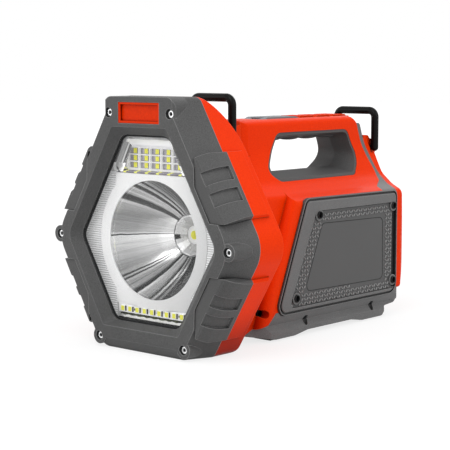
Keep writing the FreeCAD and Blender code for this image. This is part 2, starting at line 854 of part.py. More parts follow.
neck_profile = [(handle_half_width, handle_top), (handle_half_width, 162.0), (22.5, 150.0), (30.0, 134.0),
                (neck_half_width, 123.0), (neck_half_width, 0.0)]
neck_profile_radii = [handle_edge_radius, 40.0, 40.0, 20.0, 6.0, 0.0]
body_profile = [(handle_half_width, handle_top), (handle_half_width, 162.0), (22.5, 150.0), (30.0, 134.0),
                (40.0, 125.0), (body_half_width, shoulder_height), (body_half_width, 0.0)]
body_profile_radii = [handle_edge_radius, 40.0, 40.0, 25.0, 25.0, shoulder_radius, 0.0]
rear_line = [(271.0, 182.0), (277.0, 166.0), (284.0, 150.0), (288.5, 136.0), (285.0, 128.0),
             (272.0, panel_high + 1.7), (272.0, panel_high - 3.0), (282.0, panel_high - 3.5),
             (skin_rear, panel_high - 9.5)]
rear_radii = [6, 20, 20, 8, 5, 0, 0, 0, 0]
cover_line = [(276.0, 182.0), (282.0, 166.0), (289.0, 150.0), (293.0, 134.0),
              (skin_rear + frame_strip_low, 120.0)]
base_line = [(body_front, 14.0), (84.0, 9.0), (103.0, 16.0), (113.0, base_top)]
tan_swell = math.tan(math.radians(swell_lean))


def full_radii(half):
    return half + list(reversed(half))


def panel_front_at(z):
    return panel_front_low + tan_swell * (z - panel_low)


def body_solid(step, front):
    """The closed body behind the head down to the base line, with every face set in by a step."""
    column = both_sides(neck_profile)
    column_radii = full_radii(neck_profile_radii)
    broad = both_sides(body_profile)
    broad_radii = full_radii(body_profile_radii)
    side = [(body_front, neck_top), (post_front - 1, neck_top + 2), (post_front, handle_top),
            (264.0, handle_top)] + rear_line + [(skin_rear, base_top)] + list(reversed(base_line))
    side_radii = [0, 8, 5, 10] + rear_radii + [0] + [0] * len(base_line)
    swell_front = panel_front_at(0) - swell_offset
    swell = [(-body_half_width, swell_front), (body_half_width, swell_front),
             (body_half_width, skin_rear + 20), (-body_half_width, skin_rear + 20)]
    swell_radii = [swell_radius, swell_radius, 0, 0]
    if step:
        column = inset(column, step)
        broad = inset(broad, step)
        side = inset(side, step)
        swell = inset(swell, step)
    narrow = prism_front(column, column_radii, front, skin_rear + 5)
    narrow = narrow.common(prism_side(side, side_radii, -past_sides, past_sides))
    wide = prism_front(broad, broad_radii, front, skin_rear + 5)
    wide = wide.common(prism_side(side, side_radii, -past_sides, past_sides))
    floor = Part.Face(outline(swell, swell_radii, in_top_view(0)))
    wide = wide.common(floor.extrude(Vector(0, tan_swell * handle_top, handle_top)))
    return narrow, wide


def body_outside():
    narrow, wide = body_solid(0, body_front)
    outside = fused([narrow, wide])
    keep = handle_half_width - 3.5
    for side in (1, -1):
        corner = prism_top([(side * keep, post_front - 1), (side * (handle_half_width + 1), post_front - 1),
                            (side * (handle_half_width + 1), post_front + post_chamfer * 1.28)],
                           0, neck_top + 6, handle_top + 1)
        outside = outside.cut(corner)
    return outside


hole_outline = [(hole_front + hole_front_slant, hole_top), (hole_rear - hole_rear_slant, hole_top),
                (hole_rear, hole_bottom + hole_rear_rise), (hole_rear - hole_rear_slant, hole_bottom),
                (hole_front + hole_front_heel, hole_bottom), (hole_front, hole_bottom + hole_front_rise)]
hole_radii = [hole_corner_radius, hole_corner_radius, 14.0, hole_corner_radius, 12.0, 7.0]


def lug(y, z, web):
    """Ear that carries a bail's cross pins, with its web back to the body."""
    eye = rod_x(lug_radius, -lug_half_width, lug_half_width, y, z)
    arm = prism_side(web, 0, -lug_half_width, lug_half_width)
    return fused([eye, arm])


def lug_bores(y, z):
    bore = rod_x(bail_pin_radius + pin_play, lug_half_width - bail_pin_grip - 1, lug_half_width + 1, y, z)
    return [bore, mirrored(bore)]


def front_lug():
    web = [(front_bail_y, front_bail_z + lug_radius), (post_front + 2, handle_top - 3),
           (post_front + 2, front_bail_z - lug_radius - 8), (front_bail_y, front_bail_z - lug_radius)]
    return lug(front_bail_y, front_bail_z, web)


housing_screw_places = [(101.4, 25.2), (142.0, 75.0), (264.0, 75.0)]
housing_screw_seat = 30.0
strip_front = pad_front - 0.3
strip_rear = cap_rear + 0.3


def housings():
    """Both red halves, cut apart along the middle."""
    outside = fused([body_outside(), front_lug()])
    narrow, wide = body_solid(wall, body_front + front_wall)
    throat = reflector_radius_at(head_depth) + reflector_wall + 1.2 + sink_wall + sink_flange_width + 0.5
    inner = body_half_width - wall
    rear_opening = prism_front(inset(both_sides(body_profile), wall),
                               smaller(full_radii(body_profile_radii), wall), 280, skin_rear + 10)
    rear_opening = rear_opening.common(box(-past_sides, past_sides, skin_rear - 10.8, skin_rear + 10,
                                           base_top + 3, 150))
    hollows = [narrow, wide, rear_opening,
               rod_y(throat, body_front - 1, body_front + front_wall + 1, 0, spot_height),
               prism_side(hole_outline, hole_radii, -past_sides, past_sides),
               box(-inner + 5, inner - 5, 122, skin_rear - 5, base_top - 1, base_top + wall + 1),
               box(-strip_half_width - 0.2, strip_half_width + 0.2, strip_front, strip_rear,
                   handle_top - strip_depth, handle_top + 1)]
    hollows += [rod_z(stem_radius + 0.6, handle_top - 10, handle_top + 1, 0, y) for y in button_places]
    shell = outside.cut(hollows)
    bosses = [rod_y(4.5, body_front + 1, body_front + 10, x, z) for x, z in head_screw_places]
    bosses += [rod_x(4.5, -inner - 0.5, inner + 0.5, y, z).common(outside) for y, z in housing_screw_places]
    bosses += [rod_z(4.4, base_top, base_top + base_boss_height, side * base_screw_x, y)
               for y in base_screw_places for side in (1, -1)]
    for y, z in panel_screw_places():
        boss = rod_x(4.4, body_half_width - 12, body_half_width - panel_sink, y, z)
        bosses += [boss, mirrored(boss)]
    shell = fused([shell] + bosses)
    thread = screw_shank_radius + thread_play
    bores = [rod_y(thread, body_front - 1, body_front + 12, x, z) for x, z in head_screw_places]
    for y, z in housing_screw_places:
        bores.append(rod_x(thread, housing_screw_seat - screw_length - 1, housing_screw_seat + 1, y, z))
        bores.append(rod_x(3.5, housing_screw_seat, body_half_width + 5, y, z))
    bores += [rod_z(thread, base_top - 1, base_top + base_boss_height - 1, side * base_screw_x, y)
              for y in base_screw_places for side in (1, -1)]
    for side in (1, -1):
        bores.append(panel_blank(side, 0.2, body_half_width - panel_sink, body_half_width + 10))
        for y, z in panel_screw_places():
            x0, x1 = sorted((side * (body_half_width - 11), side * (body_half_width + 1)))
            bores.append(rod_x(thread, x0, x1, y, z))
    bores += lug_bores(front_bail_y, front_bail_z)
    shell = shell.cut(bores)
    right = shell.common(box(0, 120, 0, 320, -5, 230))
    left = shell.common(box(-120, 0, 0, 320, -5, 230))
    return left, right


def housing_screws():
    """Screws that clamp the two halves, driven from the right under the side panel."""
    screws = []
    for y, z in housing_screw_places:
        head = rod_x(screw_head_radius, housing_screw_seat, housing_screw_seat + screw_head_height, y, z)
        shank = rod_x(screw_shank_radius, housing_screw_seat - screw_length, housing_screw_seat, y, z)
        screws.append(head.fuse(shank).removeSplitter())
    return Part.makeCompound(screws)


def handle_liner():
    core = prism_side(inset(hole_outline, 0.1), smaller(hole_radii, 0.1), -body_half_width, body_half_width)
    narrow, wide = body_solid(0.4, body_front)
    core = core.common(fused([narrow, wide]))
    grip = []
    for (y, z), lift in zip(inset(hole_outline, liner_ends), (-1, -1, 0, 1, 1, 0)):
        grip.append((y, z + lift * (liner_top - liner_ends)))
    mouth = inset(hole_outline, -liner_flare)[:2] + inset(hole_outline, liner_lip)[2:]
    reach = body_half_width * 0.75
    for side in (1, -1):
        wires = [outline(grip, [r * 0.8 for r in hole_radii], in_side_view(0)),
                 outline(mouth, hole_radii, in_side_view(side * reach))]
        core = core.cut(Part.makeLoft(wires, True, True))
    return core


def handle_cap():
    """Red strip with grip ridges behind the switch pad."""
    low = handle_top - strip_depth
    start = pad_rear + 0.2
    length = (cap_rear - start) / ridge_count
    strip = box(-strip_half_width, strip_half_width, start, cap_rear, low, handle_top)
    ridges = []
    for k in range(ridge_count):
        front = start + length * k
        rear = front + length - ridge_gap
        ridges.append(prism_side([(front, handle_top - 0.5), (front + 2, handle_top + ridge_rise),
                                  (rear - 2, handle_top + ridge_rise), (rear, handle_top - 0.5)],
                                 [0, 2, 2, 0], -strip_half_width + 1, strip_half_width - 1))
    return fused([strip] + ridges)


button_low = handle_top + pad_rise - button_height + 0.2


def switch_pad():
    low = handle_top - strip_depth
    plate = box(-strip_half_width, strip_half_width, pad_front, pad_rear, low, handle_top)
    crown = prism_side([(pad_front + 5, handle_top - 0.2), (pad_front + 9, handle_top + pad_rise),
                        (pad_rear - 6, handle_top + pad_rise), (pad_rear, handle_top - 0.2)],
                       [0, 8, 8, 0], -strip_half_width + 0.6, strip_half_width - 0.6)
    pad = fused([plate, crown])
    for y in button_places:
        pad = pad.cut(rod_z(button_radius + button_gap, button_low - button_travel - 0.1,
                            handle_top + 5, 0, y))
        pad = pad.cut(rod_z(stem_radius + button_gap, low - 1, handle_top + 5, 0, y))
    return pad


def button(y):
    top = button_low + button_height
    cap = rod_z(button_radius, button_low, top, 0, y)
    rim = [edge for edge in cap.Edges if edge.BoundBox.ZMin > top - 0.1]
    cap = cap.makeFillet(0.6, rim)
    stem = rod_z(stem_radius, button_low - stem_length, button_low + 0.5, 0, y)
    return cap.fuse(stem).removeSplitter()


def switch_board():
    """Board with two push switches, lying on the hand hole's lining under the buttons."""
    low = hole_top - 0.1
    top = low + board_thickness
    board = box(-9.0, 9.0, pad_front + 2, pad_rear - 2, low, top)
    parts = [board]
    for y in button_places:
        parts.append(box(-3, 3, y - 3, y + 3, top - 0.1, top + 4))
        parts.append(rod_z(1.7, top + 3, button_low - stem_length - button_travel - 0.1, 0, y))
    return fused(parts)


# Side panels

def panel_outline():
    rear = skin_rear - panel_rear_gap
    return [(panel_front_at(panel_low), panel_low), (panel_front_at(panel_high), panel_high),
            (rear, panel_high - 1.5), (rear, panel_low)]


panel_radii = [panel_radius_low, panel_radius_high, 7.0, 12.0]


def panel_blank(side, grow, x0, x1):
    points = inset(panel_outline(), -grow)
    low, high = sorted((side * x0, side * x1))
    return prism_side(points, [radius + grow for radius in panel_radii], low, high)


def panel_screw_places():
    rear = skin_rear - panel_screw_rear
    front_low = panel_front_at(panel_screw_low) + panel_screw_front_low
    front_high = panel_front_at(panel_screw_high) + panel_screw_front_high
    return [(front_low, panel_screw_low), (rear, panel_screw_low),
            (front_high, panel_screw_high), (rear, panel_screw_high)]


def recess_outline():
    low = panel_low + recess_bottom
    high = panel_high - recess_top
    rear = skin_rear - recess_rear
    return [(panel_front_at(low) + recess_front_low, low), (panel_front_at(high) + recess_front_high, high),
            (rear, high - 0.7), (rear, low)]


def side_panel(side):
    back = body_half_width - panel_sink
    front = body_half_width + panel_rise
    outer = panel_blank(1, -panel_gap, back, front - panel_rim_drop)
    trench = panel_blank(1, -panel_gap - panel_rim, front - panel_groove_depth, front)
    plate = panel_blank(1, -panel_gap - panel_rim - panel_groove, back, front)
    edges = [edge for edge in plate.Edges if abs(edge.BoundBox.XMin - front) < 0.01]
    plate = fused([outer.cut(trench), plate.makeChamfer(0.8, edges)])
    recess = prism_side(recess_outline(), [4, 4, 3, 3], front - panel_recess, front + 2)
    rear = skin_rear - recess_rear
    low = panel_low + recess_bottom
    slot = box(front - panel_recess - slot_depth, front, rear - slot_width, rear,
               low + 1, panel_high - recess_top - 2)
    plate = plate.cut(recess).cut(slot)
    plate = fused([plate] + [rod_x(panel_boss_radius, back, front, y, z) for y, z in panel_screw_places()])
    wells = []
    for y, z in panel_screw_places():
        wells.append(rod_x(panel_well_radius, front - panel_screw_sink, front + 1, y, z))
        wells.append(rod_x(screw_shank_radius + shank_play, back - 1, front + 1, y, z))
    plate = plate.cut(wells)
    return plate if side > 0 else mirrored(plate)


def panel_screws():
    screws = []
    seat = body_half_width + panel_rise - panel_screw_sink
    for side in (1, -1):
        for y, z in panel_screw_places():
            head = rod_x(screw_head_radius, seat, seat + 1.8, y, z)
            shank = rod_x(screw_shank_radius, seat - 11, seat, y, z)
            screw = head.fuse(shank).removeSplitter()
            screws.append(screw if side > 0 else mirrored(screw))
    return Part.makeCompound(screws)


# Base

def base_solid(step):
    half = [(body_half_width, base_top), (body_half_width, base_top - 4), (base_waist, 13.5),
            (base_foot_half_width, 8.0), (base_foot_half_width, 0.0)]
    section = both_sides(half)
    plan = [(-34.0, base_front), (34.0, base_front), (neck_half_width, 94.0), (body_half_width, 113.0),
            (body_half_width, base_rear), (-body_half_width, base_rear), (-body_half_width, 113.0),
            (-neck_half_width, 94.0)]
    plan_radii = [6, 6, 20, 20, base_corner_radius, base_corner_radius, 20, 20]
    side = [(113.0, base_top), (base_rear, base_top), (base_rear, 17.0),
            (base_rear - 8, base_lip_bottom + 1.4),
            (base_runner_rear - 1.5, base_lip_bottom), (base_runner_rear, base_toe_bottom + 4),
            (base_runner_rear - 4, base_toe_bottom), (241.0, base_toe_bottom), (224.0, base_bottom),
            (160.0, base_bottom), (142.0, base_toe_bottom), (115.0, base_toe_bottom), (101.0, base_bottom)]
    side_radii = [0, 0, 9, 12, 3, 2.5, 5, 10, 10, 20, 20, 10, 10]
    if step:
        section = inset(section, step)
        plan = inset(plan, step)
        side = inset(side, step)
        side_radii = [0] * len(side)
        plan_radii = smaller(plan_radii, step)
    else:
        side += [(base_front, 8.4), (base_front, 10.1), (84.0, 9.0), (103.0, 16.0)]
        side_radii += [0, 0, 0, 0]
    return (prism_front(section, 0, base_front - 5, base_rear + 5)
            .common(prism_top(plan, plan_radii, -5, base_top + 5))
            .common(prism_side(side, side_radii, -past_sides, past_sides)))


def foot_places():
    out = base_foot_half_width - foot_inset - foot_width / 2
    return [(side * out, y, low) for side in (1, -1)
            for y, low in ((front_foot_middle, base_toe_bottom), (rear_foot_middle, base_toe_bottom))]


def base_housing():
    outside = base_solid(0)
    mouth = box(-body_half_width + wall, body_half_width - wall, 116.0, skin_rear + 2,
                base_top - wall - 1, base_top + 1)
    tub = outside.cut([base_solid(wall), mouth])
    blocks = []
    pockets = [panel_blank(side, 0.2, body_half_width - panel_sink, body_half_width + 10) for side in (1, -1)]
    for x, y, low in foot_places():
        across = foot_width / 2 + 1.5
        along = foot_length / 2 + 1.5
        blocks.append(box(x - across, x + across, y - along, y + along, low + 0.2, low + foot_pocket + 1.5))
        pockets.append(box(x - foot_width / 2 - 0.1, x + foot_width / 2 + 0.1, y - foot_length / 2 - 0.1,
                           y + foot_length / 2 + 0.1, -1, low + foot_pocket))
    for y in base_screw_places:
        for side in (1, -1):
            blocks.append(rod_z(5.0, base_bottom + 1, base_top, side * base_screw_x, y))
            pockets.append(rod_z(base_well_radius, -1, base_screw_seat, side * base_screw_x, y))
            pockets.append(rod_z(screw_shank_radius + shank_play, 10.0, base_top + 1, side * base_screw_x, y))
    return fused([tub, blocks[0].fuse(blocks[1:]).common(outside)]).cut(pockets)


def base_screws():
    screws = []
    for y in base_screw_places:
        for side in (1, -1):
            x = side * base_screw_x
            head = rod_z(screw_head_radius, base_screw_seat - screw_head_height, base_screw_seat, x, y)
            shank = rod_z(screw_shank_radius, base_screw_seat, base_top + base_boss_height - 2, x, y)
            screws.append(head.fuse(shank).removeSplitter())
    return Part.makeCompound(screws)


def feet():
    """Rubber feet with a row of teeth across the bottom."""
    solids = []
    for x, y, low in foot_places():
        teeth = int(foot_length / foot_tooth)
        start = y - foot_length / 2
        points = [(start, low + foot_pocket), (y + foot_length / 2, low + foot_pocket)]
        for k in reversed(range(teeth)):
            front = start + foot_tooth * k
            points += [(front + foot_tooth, foot_tooth_depth), (front + foot_tooth * 0.7, 0.0),
                       (front + foot_tooth * 0.3, 0.0)]
        points.append((start, foot_tooth_depth))
        solids.append(prism_side(points, 0, x - foot_width / 2, x + foot_width / 2))
    return Part.makeCompound(solids)


# Rear frame and cover

def rear_frame():
    section = rear_line + [(skin_rear, base_top), (cover_line[-1][0], base_top)] + list(reversed(cover_line))
    radii = [0] + rear_radii[1:] + [0, 0] + [20] * (len(cover_line) - 1) + [4]
    slab = prism_side(section, radii, -past_sides, past_sides)
    profile = both_sides(body_profile)
    radii = full_radii(body_profile_radii)
    ring = slab.common(prism_front(profile, radii, 250, skin_rear + 20))
    hollow = prism_front(inset(profile, 5), radii, 250, skin_rear + 20)
    hollow = hollow.common(box(-past_sides, past_sides, 250, 320, base_top + 6, rear_bail_z + 8))
    pockets = [panel_blank(side, 0.2, body_half_width - panel_sink, body_half_width + 10) for side in (1, -1)]
    return ring.cut([hollow] + pockets)


cover_profile = [(handle_half_width, rear_bail_z + 14), (handle_half_width, 162.0), (22.5, 150.0),
                 (30.0, 134.0), (40.0, 125.0), (body_half_width, shoulder_height), (body_half_width, base_top)]
cover_profile_radii = [3.0, 40.0, 40.0, 25.0, 25.0, shoulder_radius, 3.0]


def cover_solid(step):
    profile = inset(both_sides(cover_profile), cover_side_inset + step)
    radii = full_radii(cover_profile_radii)
    crown = inset(profile, cover_crown)
    start = cover_rear - cover_crown_depth
    outer = fused([prism_front(profile, radii, skin_rear - 10, start),
                   loft_front(profile, radii, start, crown, radii, cover_rear)])
    section = cover_line[1:] + [
        (cover_line[-1][0], base_top), (cover_rear - 5, base_top), (cover_rear - 1, 40.0),
        (cover_rear, cover_flat[0]), (cover_rear, cover_flat[1]), (cover_rear - 2.2, 124.0),
        (cover_rear - 5, 134.0), (cover_rear - 5.4, 150.0), (cover_rear - 11.4, rear_bail_z + 12),
        (cover_line[1][0] + 1, rear_bail_z + 12)]
    radii = [0] * len(cover_line) + [3, 20, 20, 90, 30, 20, 20, 5, 0]
    if step:
        section = inset(section, step)
    return outer.common(prism_side(section, radii, -past_sides, past_sides))


def rear_cover():
    shell = cover_solid(0)
    web = [(rear_bail_y, rear_bail_z + lug_radius), (rear_bail_y - 9, rear_bail_z + 11),
           (rear_bail_y - 6, rear_bail_z - 12),
           (rear_bail_y, rear_bail_z - lug_radius)]
    inner = box(-body_half_width + 5, body_half_width - 5, skin_rear, cover_rear - wall - 3,
                base_top + 4, 112.0)
    shell = fused([shell.cut(inner), lug(rear_bail_y, rear_bail_z, web)])
    reach = bail_rod + bail_relief
    front = rear_bail_y - reach
    relief = prism_side([(front, rear_bail_z - reach), (front, rear_bail_z),
                         (front - 20 * math.tan(math.radians(bail_lean)), rear_bail_z + 20),
                         (cover_rear + 5, rear_bail_z + 20), (cover_rear + 5, rear_bail_z - reach)],
                        0, lug_half_width, body_half_width + 1)
    shell = shell.cut([relief, mirrored(relief)] + lug_bores(rear_bail_y, rear_bail_z))
    backing = box(-port_half_width - 3, port_half_width + 3, cover_rear - port_depth - 2, cover_rear - 1,
                  port_low - 3, port_high + 3)
    shell = fused([shell, backing])
    shell = shell.cut(box(-port_half_width, port_half_width, cover_rear - port_depth, cover_rear + 1,
                          port_low, port_high))
    middle = (port_low + port_high) / 2 - 1.5
    across = usb_width / 2 + 0.4
    upright = usb_height / 2 + 0.4
    window = fused([rod_y(jack_radius + 0.4, 280, cover_rear, -socket_spacing / 2, middle),
                    box(socket_spacing / 2 - across, socket_spacing / 2 + across, 280, cover_rear,
                        middle - upright, middle + upright)])
    return shell.cut([window, rod_x(flap_pin_radius + thread_play, -port_pin_half, port_pin_half, flap_pin_y,
                                    flap_pin_z)])


flap_pin_y = cover_rear - flap_hinge_radius - port_gap
flap_pin_z = port_high - flap_hinge_radius - port_gap
port_pin_half = port_half_width + 2.5


def port_cover():
    """Rubber flap that hangs on a cross pin along its upper edge."""
    back = cover_rear - port_depth + 0.1
    half = port_half_width - port_gap
    plate = box(-half, half, back, back + flap_thickness, port_low + port_gap, flap_pin_z - flap_hinge_radius * 0.2)
    barrel = rod_x(flap_hinge_radius, -half, half, flap_pin_y, flap_pin_z)
    tab = box(-6, 6, back + flap_thickness - 0.5, back + flap_thickness + 0.6, port_low + port_gap,
              port_low + port_gap + 3)
    flap = fused([plate, barrel, tab])
    return flap.cut(rod_x(flap_pin_radius + pin_play, -half - 1, half + 1, flap_pin_y, flap_pin_z))


def port_pin():
    return rod_x(flap_pin_radius, -port_pin_half, port_pin_half, flap_pin_y, flap_pin_z)


def charge_sockets():
    back = cover_rear - port_depth - 2
    middle = (port_low + port_high) / 2 - 1.5
    block = box(-port_half_width - 2, port_half_width + 2, back - socket_block_depth, back, middle - 8, middle + 8)
    jack = rod_y(jack_radius, back - socket_depth, back + 1, -socket_spacing / 2, middle)
    slot = box(socket_spacing / 2 - usb_width / 2, socket_spacing / 2 + usb_width / 2, back - socket_depth,
               back + 1, middle - usb_height / 2, middle + usb_height / 2)
    return block.cut(jack).cut(slot)


# Bails

def bail(y, z):
    """Coated wire loop with bare pin ends that turn in the lug's bores."""
    leg = lug_half_width + bail_gap + bail_rod
    top = z + bail_length
    pieces = []
    for side in (1, -1):
        inner = side * (leg - bail_bend)
        pin0, pin1 = sorted((side * (lug_half_width - bail_pin_grip), side * leg))
        pieces.append(rod_x(bail_pin_radius, pin0, pin1, y, z))
        pieces.append(rod_z(bail_rod, z, top - bail_bend, side * leg, y))
        pieces.append(Part.makeSphere(bail_rod, Vector(side * leg, y, z)))
        circle = Part.Face(Part.Wire(Part.makeCircle(bail_rod, Vector(side * leg, y, top - bail_bend),
                                                     Vector(0, 0, 1))))
        pieces.append(circle.revolve(Vector(inner, y, top - bail_bend), Vector(0, -side, 0), 90))
    pieces.append(rod_x(bail_rod, -(leg - bail_bend), leg - bail_bend, y, top))
    return fused(pieces)


# Inside the body

def cell_places():
    low = base_bottom + wall + holder_wall + cell_radius + 1.0
    return [(cells_front + cell_radius + cell_pitch * k, low + cell_pitch * row)
            for row in range(cell_rows) for k in range(cell_columns)]


def battery_cells():
    end = cell_length / 2
    return Part.makeCompound([rod_x(cell_radius, -end, end, y, z) for y, z in cell_places()])


def holder_box(x0, x1):
    places = cell_places()
    ys = [y for y, z in places]
    zs = [z for y, z in places]
    grow = cell_radius + holder_wall
    return box(x0, x1, min(ys) - grow, max(ys) + grow, base_bottom + wall, max(zs) + grow)


def cell_holder(side):
    """End frame that grips one end of every cell and stands on the base."""
    end = cell_length / 2
    block = holder_box(end - holder_grip, end + holder_thickness - holder_grip)
    for y, z in cell_places():
        block = block.cut(rod_x(cell_radius + 0.1, 0, end, y, z))
        block = block.cut(rod_x(cell_radius - 3, end - 1, end + holder_thickness, y, z))
    return block if side > 0 else mirrored(block)


def control_board():
    top = holder_box(0, 1).BoundBox
    middle = (top.YMin + top.YMax) / 2
    half_y = control_board_length / 2
    half_x = control_board_width / 2
    low = top.ZMax + board_gap
    board = box(-half_x, half_x, middle - half_y, middle + half_y, low, low + board_thickness)
    end = cell_length / 2 - holder_grip / 2
    posts = [rod_z(2.0, top.ZMax, low + 0.5, side * (end - 3.5), middle + way * (half_y - 6))
             for side in (1, -1) for way in (1, -1)]
    rails = [box(min(side * (end - 6), side * (end + 3)), max(side * (end - 6), side * (end + 3)),
                 middle + way * (half_y - 6) - 3, middle + way * (half_y - 6) + 3, top.ZMax, top.ZMax + 1.5)
             for side in (1, -1) for way in (1, -1)]
    chips = [box(-18, -4, middle - 30, middle - 16, low + 1, low + 12),
             box(4, 20, middle - 34, middle - 22, low + 1, low + 5),
             rod_z(5, low + 1, low + 14, 12, middle + 8), rod_z(4, low + 1, low + 11, -12, middle + 12),
             box(-22, 22, middle + 26, middle + 34, low + 1, low + 9)]
    return fused([board] + posts + rails + chips)


def save(shape, name):
    placed = shape.copy()
    placed.translate(Vector(0, -overall_length / 2, 0))
    placed.exportStep("parts/" + name + ".step")


def build():
    left, right = housings()
    pieces = {
        "front_bezel": front_bezel(),
        "badge_insert": badge_insert(),
        "bezel_screws": bezel_screws(),
        "lens_gasket": lens_gasket(),
        "lens": lens(),
        "ring_plate": ring_plate(),
        "lamp_frame": lamp_frame(),
        "spot_reflector": spot_reflector(),
        "reflector_collar": reflector_collar(),
        "spot_led": spot_led(),
        "spot_board": spot_board(),
        "upper_tray": upper_tray(),
        "upper_leds": upper_leds(),
        "upper_board": upper_board(),
        "lower_tray": lower_tray(),
        "lower_leds": lower_leds(),
        "lower_board": lower_board(),
        "head_shell": head_shell(),
        "head_screws": head_screws(),
        "heat_sink": heat_sink(),
        "housing_left": left,
        "housing_right": right,
        "housing_screws": housing_screws(),
        "handle_liner": handle_liner(),
        "handle_cap": handle_cap(),
        "switch_pad": switch_pad(),
        "spot_button": button(button_places[0]),
        "work_button": button(button_places[1]),
        "switch_board": switch_board(),
        "side_panel_left": side_panel(-1),
        "side_panel_right": side_panel(1),
        "panel_screws": panel_screws(),
        "base_housing": base_housing(),
        "base_screws": base_screws(),
        "feet": feet(),
        "rear_frame": rear_frame(),
        "rear_cover": rear_cover(),
        "port_cover": port_cover(),
        "port_pin": port_pin(),
        "charge_sockets": charge_sockets(),
        "front_bail": bail(front_bail_y, front_bail_z),
        "rear_bail": bail(rear_bail_y, rear_bail_z),
        "battery_cells": battery_cells(),
        "cell_holder_left": cell_holder(-1),
        "cell_holder_right": cell_holder(1),
        "control_board": control_board(),
    }
    for place, right_side, upper_side in (("upper_left", False, True), ("upper_right", True, True),
                                          ("lower_left", False, False), ("lower_right", True, False)):
        pieces["bumper_" + place] = bumper(right_side, upper_side)
    os.makedirs("parts", exist_ok=True)
    for name, shape in pieces.items():
        save(shape, name)


build()
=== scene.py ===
import math

import bmesh
import bpy
from mathutils import Matrix, Vector


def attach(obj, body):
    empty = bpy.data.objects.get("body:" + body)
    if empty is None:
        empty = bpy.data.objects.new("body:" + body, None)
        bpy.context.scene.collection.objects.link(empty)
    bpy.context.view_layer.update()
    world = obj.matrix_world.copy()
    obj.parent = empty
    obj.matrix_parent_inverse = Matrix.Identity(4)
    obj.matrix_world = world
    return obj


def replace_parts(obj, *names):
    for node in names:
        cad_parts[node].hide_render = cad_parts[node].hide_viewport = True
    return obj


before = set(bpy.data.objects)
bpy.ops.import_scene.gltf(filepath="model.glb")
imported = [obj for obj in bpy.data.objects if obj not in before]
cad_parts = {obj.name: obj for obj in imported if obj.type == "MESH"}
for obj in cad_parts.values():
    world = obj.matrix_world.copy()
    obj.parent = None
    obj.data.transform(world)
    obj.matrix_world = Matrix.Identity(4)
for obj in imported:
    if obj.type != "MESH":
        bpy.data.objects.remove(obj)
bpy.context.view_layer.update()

scene = bpy.context.scene


# Red shells: head shell, body halves and rear cover
# Injection-moulded ABS in a bright orange red, with a satin spark-eroded skin. The halves meet on
# the centreline and the head shell screws onto the neck from inside.


def colour(code):
    """A screen colour as the light values that nodes take."""
    parts = [int(code[place:place + 2], 16) / 255 for place in (1, 3, 5)]
    return [part / 12.92 if part < 0.0405 else ((part + 0.055) / 1.055) ** 2.4 for part in parts] + [1.0]


class Socket:
    """One output of a node, so that sums on it add Math nodes to its tree."""

    def __init__(self, tree, output):
        self.tree, self.output = tree, output

    def math(self, sign, *values):
        return self.tree.add("ShaderNodeMath", {"operation": sign}, values)

    def __add__(self, other):
        return self.math("ADD", self, other)

    def __sub__(self, other):
        return self.math("SUBTRACT", self, other)

    def __rsub__(self, other):
        return self.math("SUBTRACT", other, self)

    def __mul__(self, other):
        return self.math("MULTIPLY", self, other)

    def __truediv__(self, other):
        return self.math("DIVIDE", self, other)

    def __pow__(self, other):
        return self.math("POWER", self, other)

    def __abs__(self):
        return self.math("ABSOLUTE", self)

    def __gt__(self, other):
        return self.math("GREATER_THAN", self, other)

    def __lt__(self, other):
        return self.math("LESS_THAN", self, other)

    def most(self, other):
        return self.math("MAXIMUM", self, other)

    def least(self, other):
        return self.math("MINIMUM", self, other)

    def clamp(self):
        return self.most(0.0).least(1.0)

    def sine(self):
        return self.math("SINE", self)

    def cosine(self):
        return self.math("COSINE", self)

    def angle(self, across):
        """The angle round an axis, of a spot this far up and that far across."""
        return self.math("ARCTAN2", self, across)

    __radd__ = __add__
    __rmul__ = __mul__


class Tree:
    """A node tree that grows through one method, whatever the kind of node."""

    def __init__(self, tree):
        self.tree = tree

    def add(self, kind, settings=None, values=(), out=0):
        """Adds a node with its settings and its sockets' values or links. Gives one output, or the node
        where it has none."""
        node = self.tree.nodes.new(kind)
        for name, setting in (settings or {}).items():
            if name == "stops":
                stops = node.color_ramp.elements
                stops.remove(stops[1])
                stops[0].position, stops[0].color = setting[0]
                for place, tone in setting[1:]:
                    stops.new(place).color = tone
            else:
                setattr(node, name, setting)
        for key, value in values.items() if isinstance(values, dict) else enumerate(values):
            for single in value if isinstance(value, list) and isinstance(value[0], Socket) else [value]:
                if isinstance(single, Socket):
                    self.tree.links.new(single.output, node.inputs[key])
                else:
                    node.inputs[key].default_value = single
        return Socket(self, node.outputs[out]) if node.outputs else node

    def split(self, vector):
        """The three parts of a vector."""
        parts = self.add("ShaderNodeSeparateXYZ", {}, [vector]).output.node.outputs
        return [Socket(self, part) for part in parts]

    def vector(self, *parts):
        """A vector of up to three parts, the rest 0."""
        return self.add("ShaderNodeCombineXYZ", {}, parts)

    def rotation(self, *angles):
        """A rotation by the angles about x, y and z."""
        return self.add("FunctionNodeEulerToRotation", {}, [self.vector(*angles)])


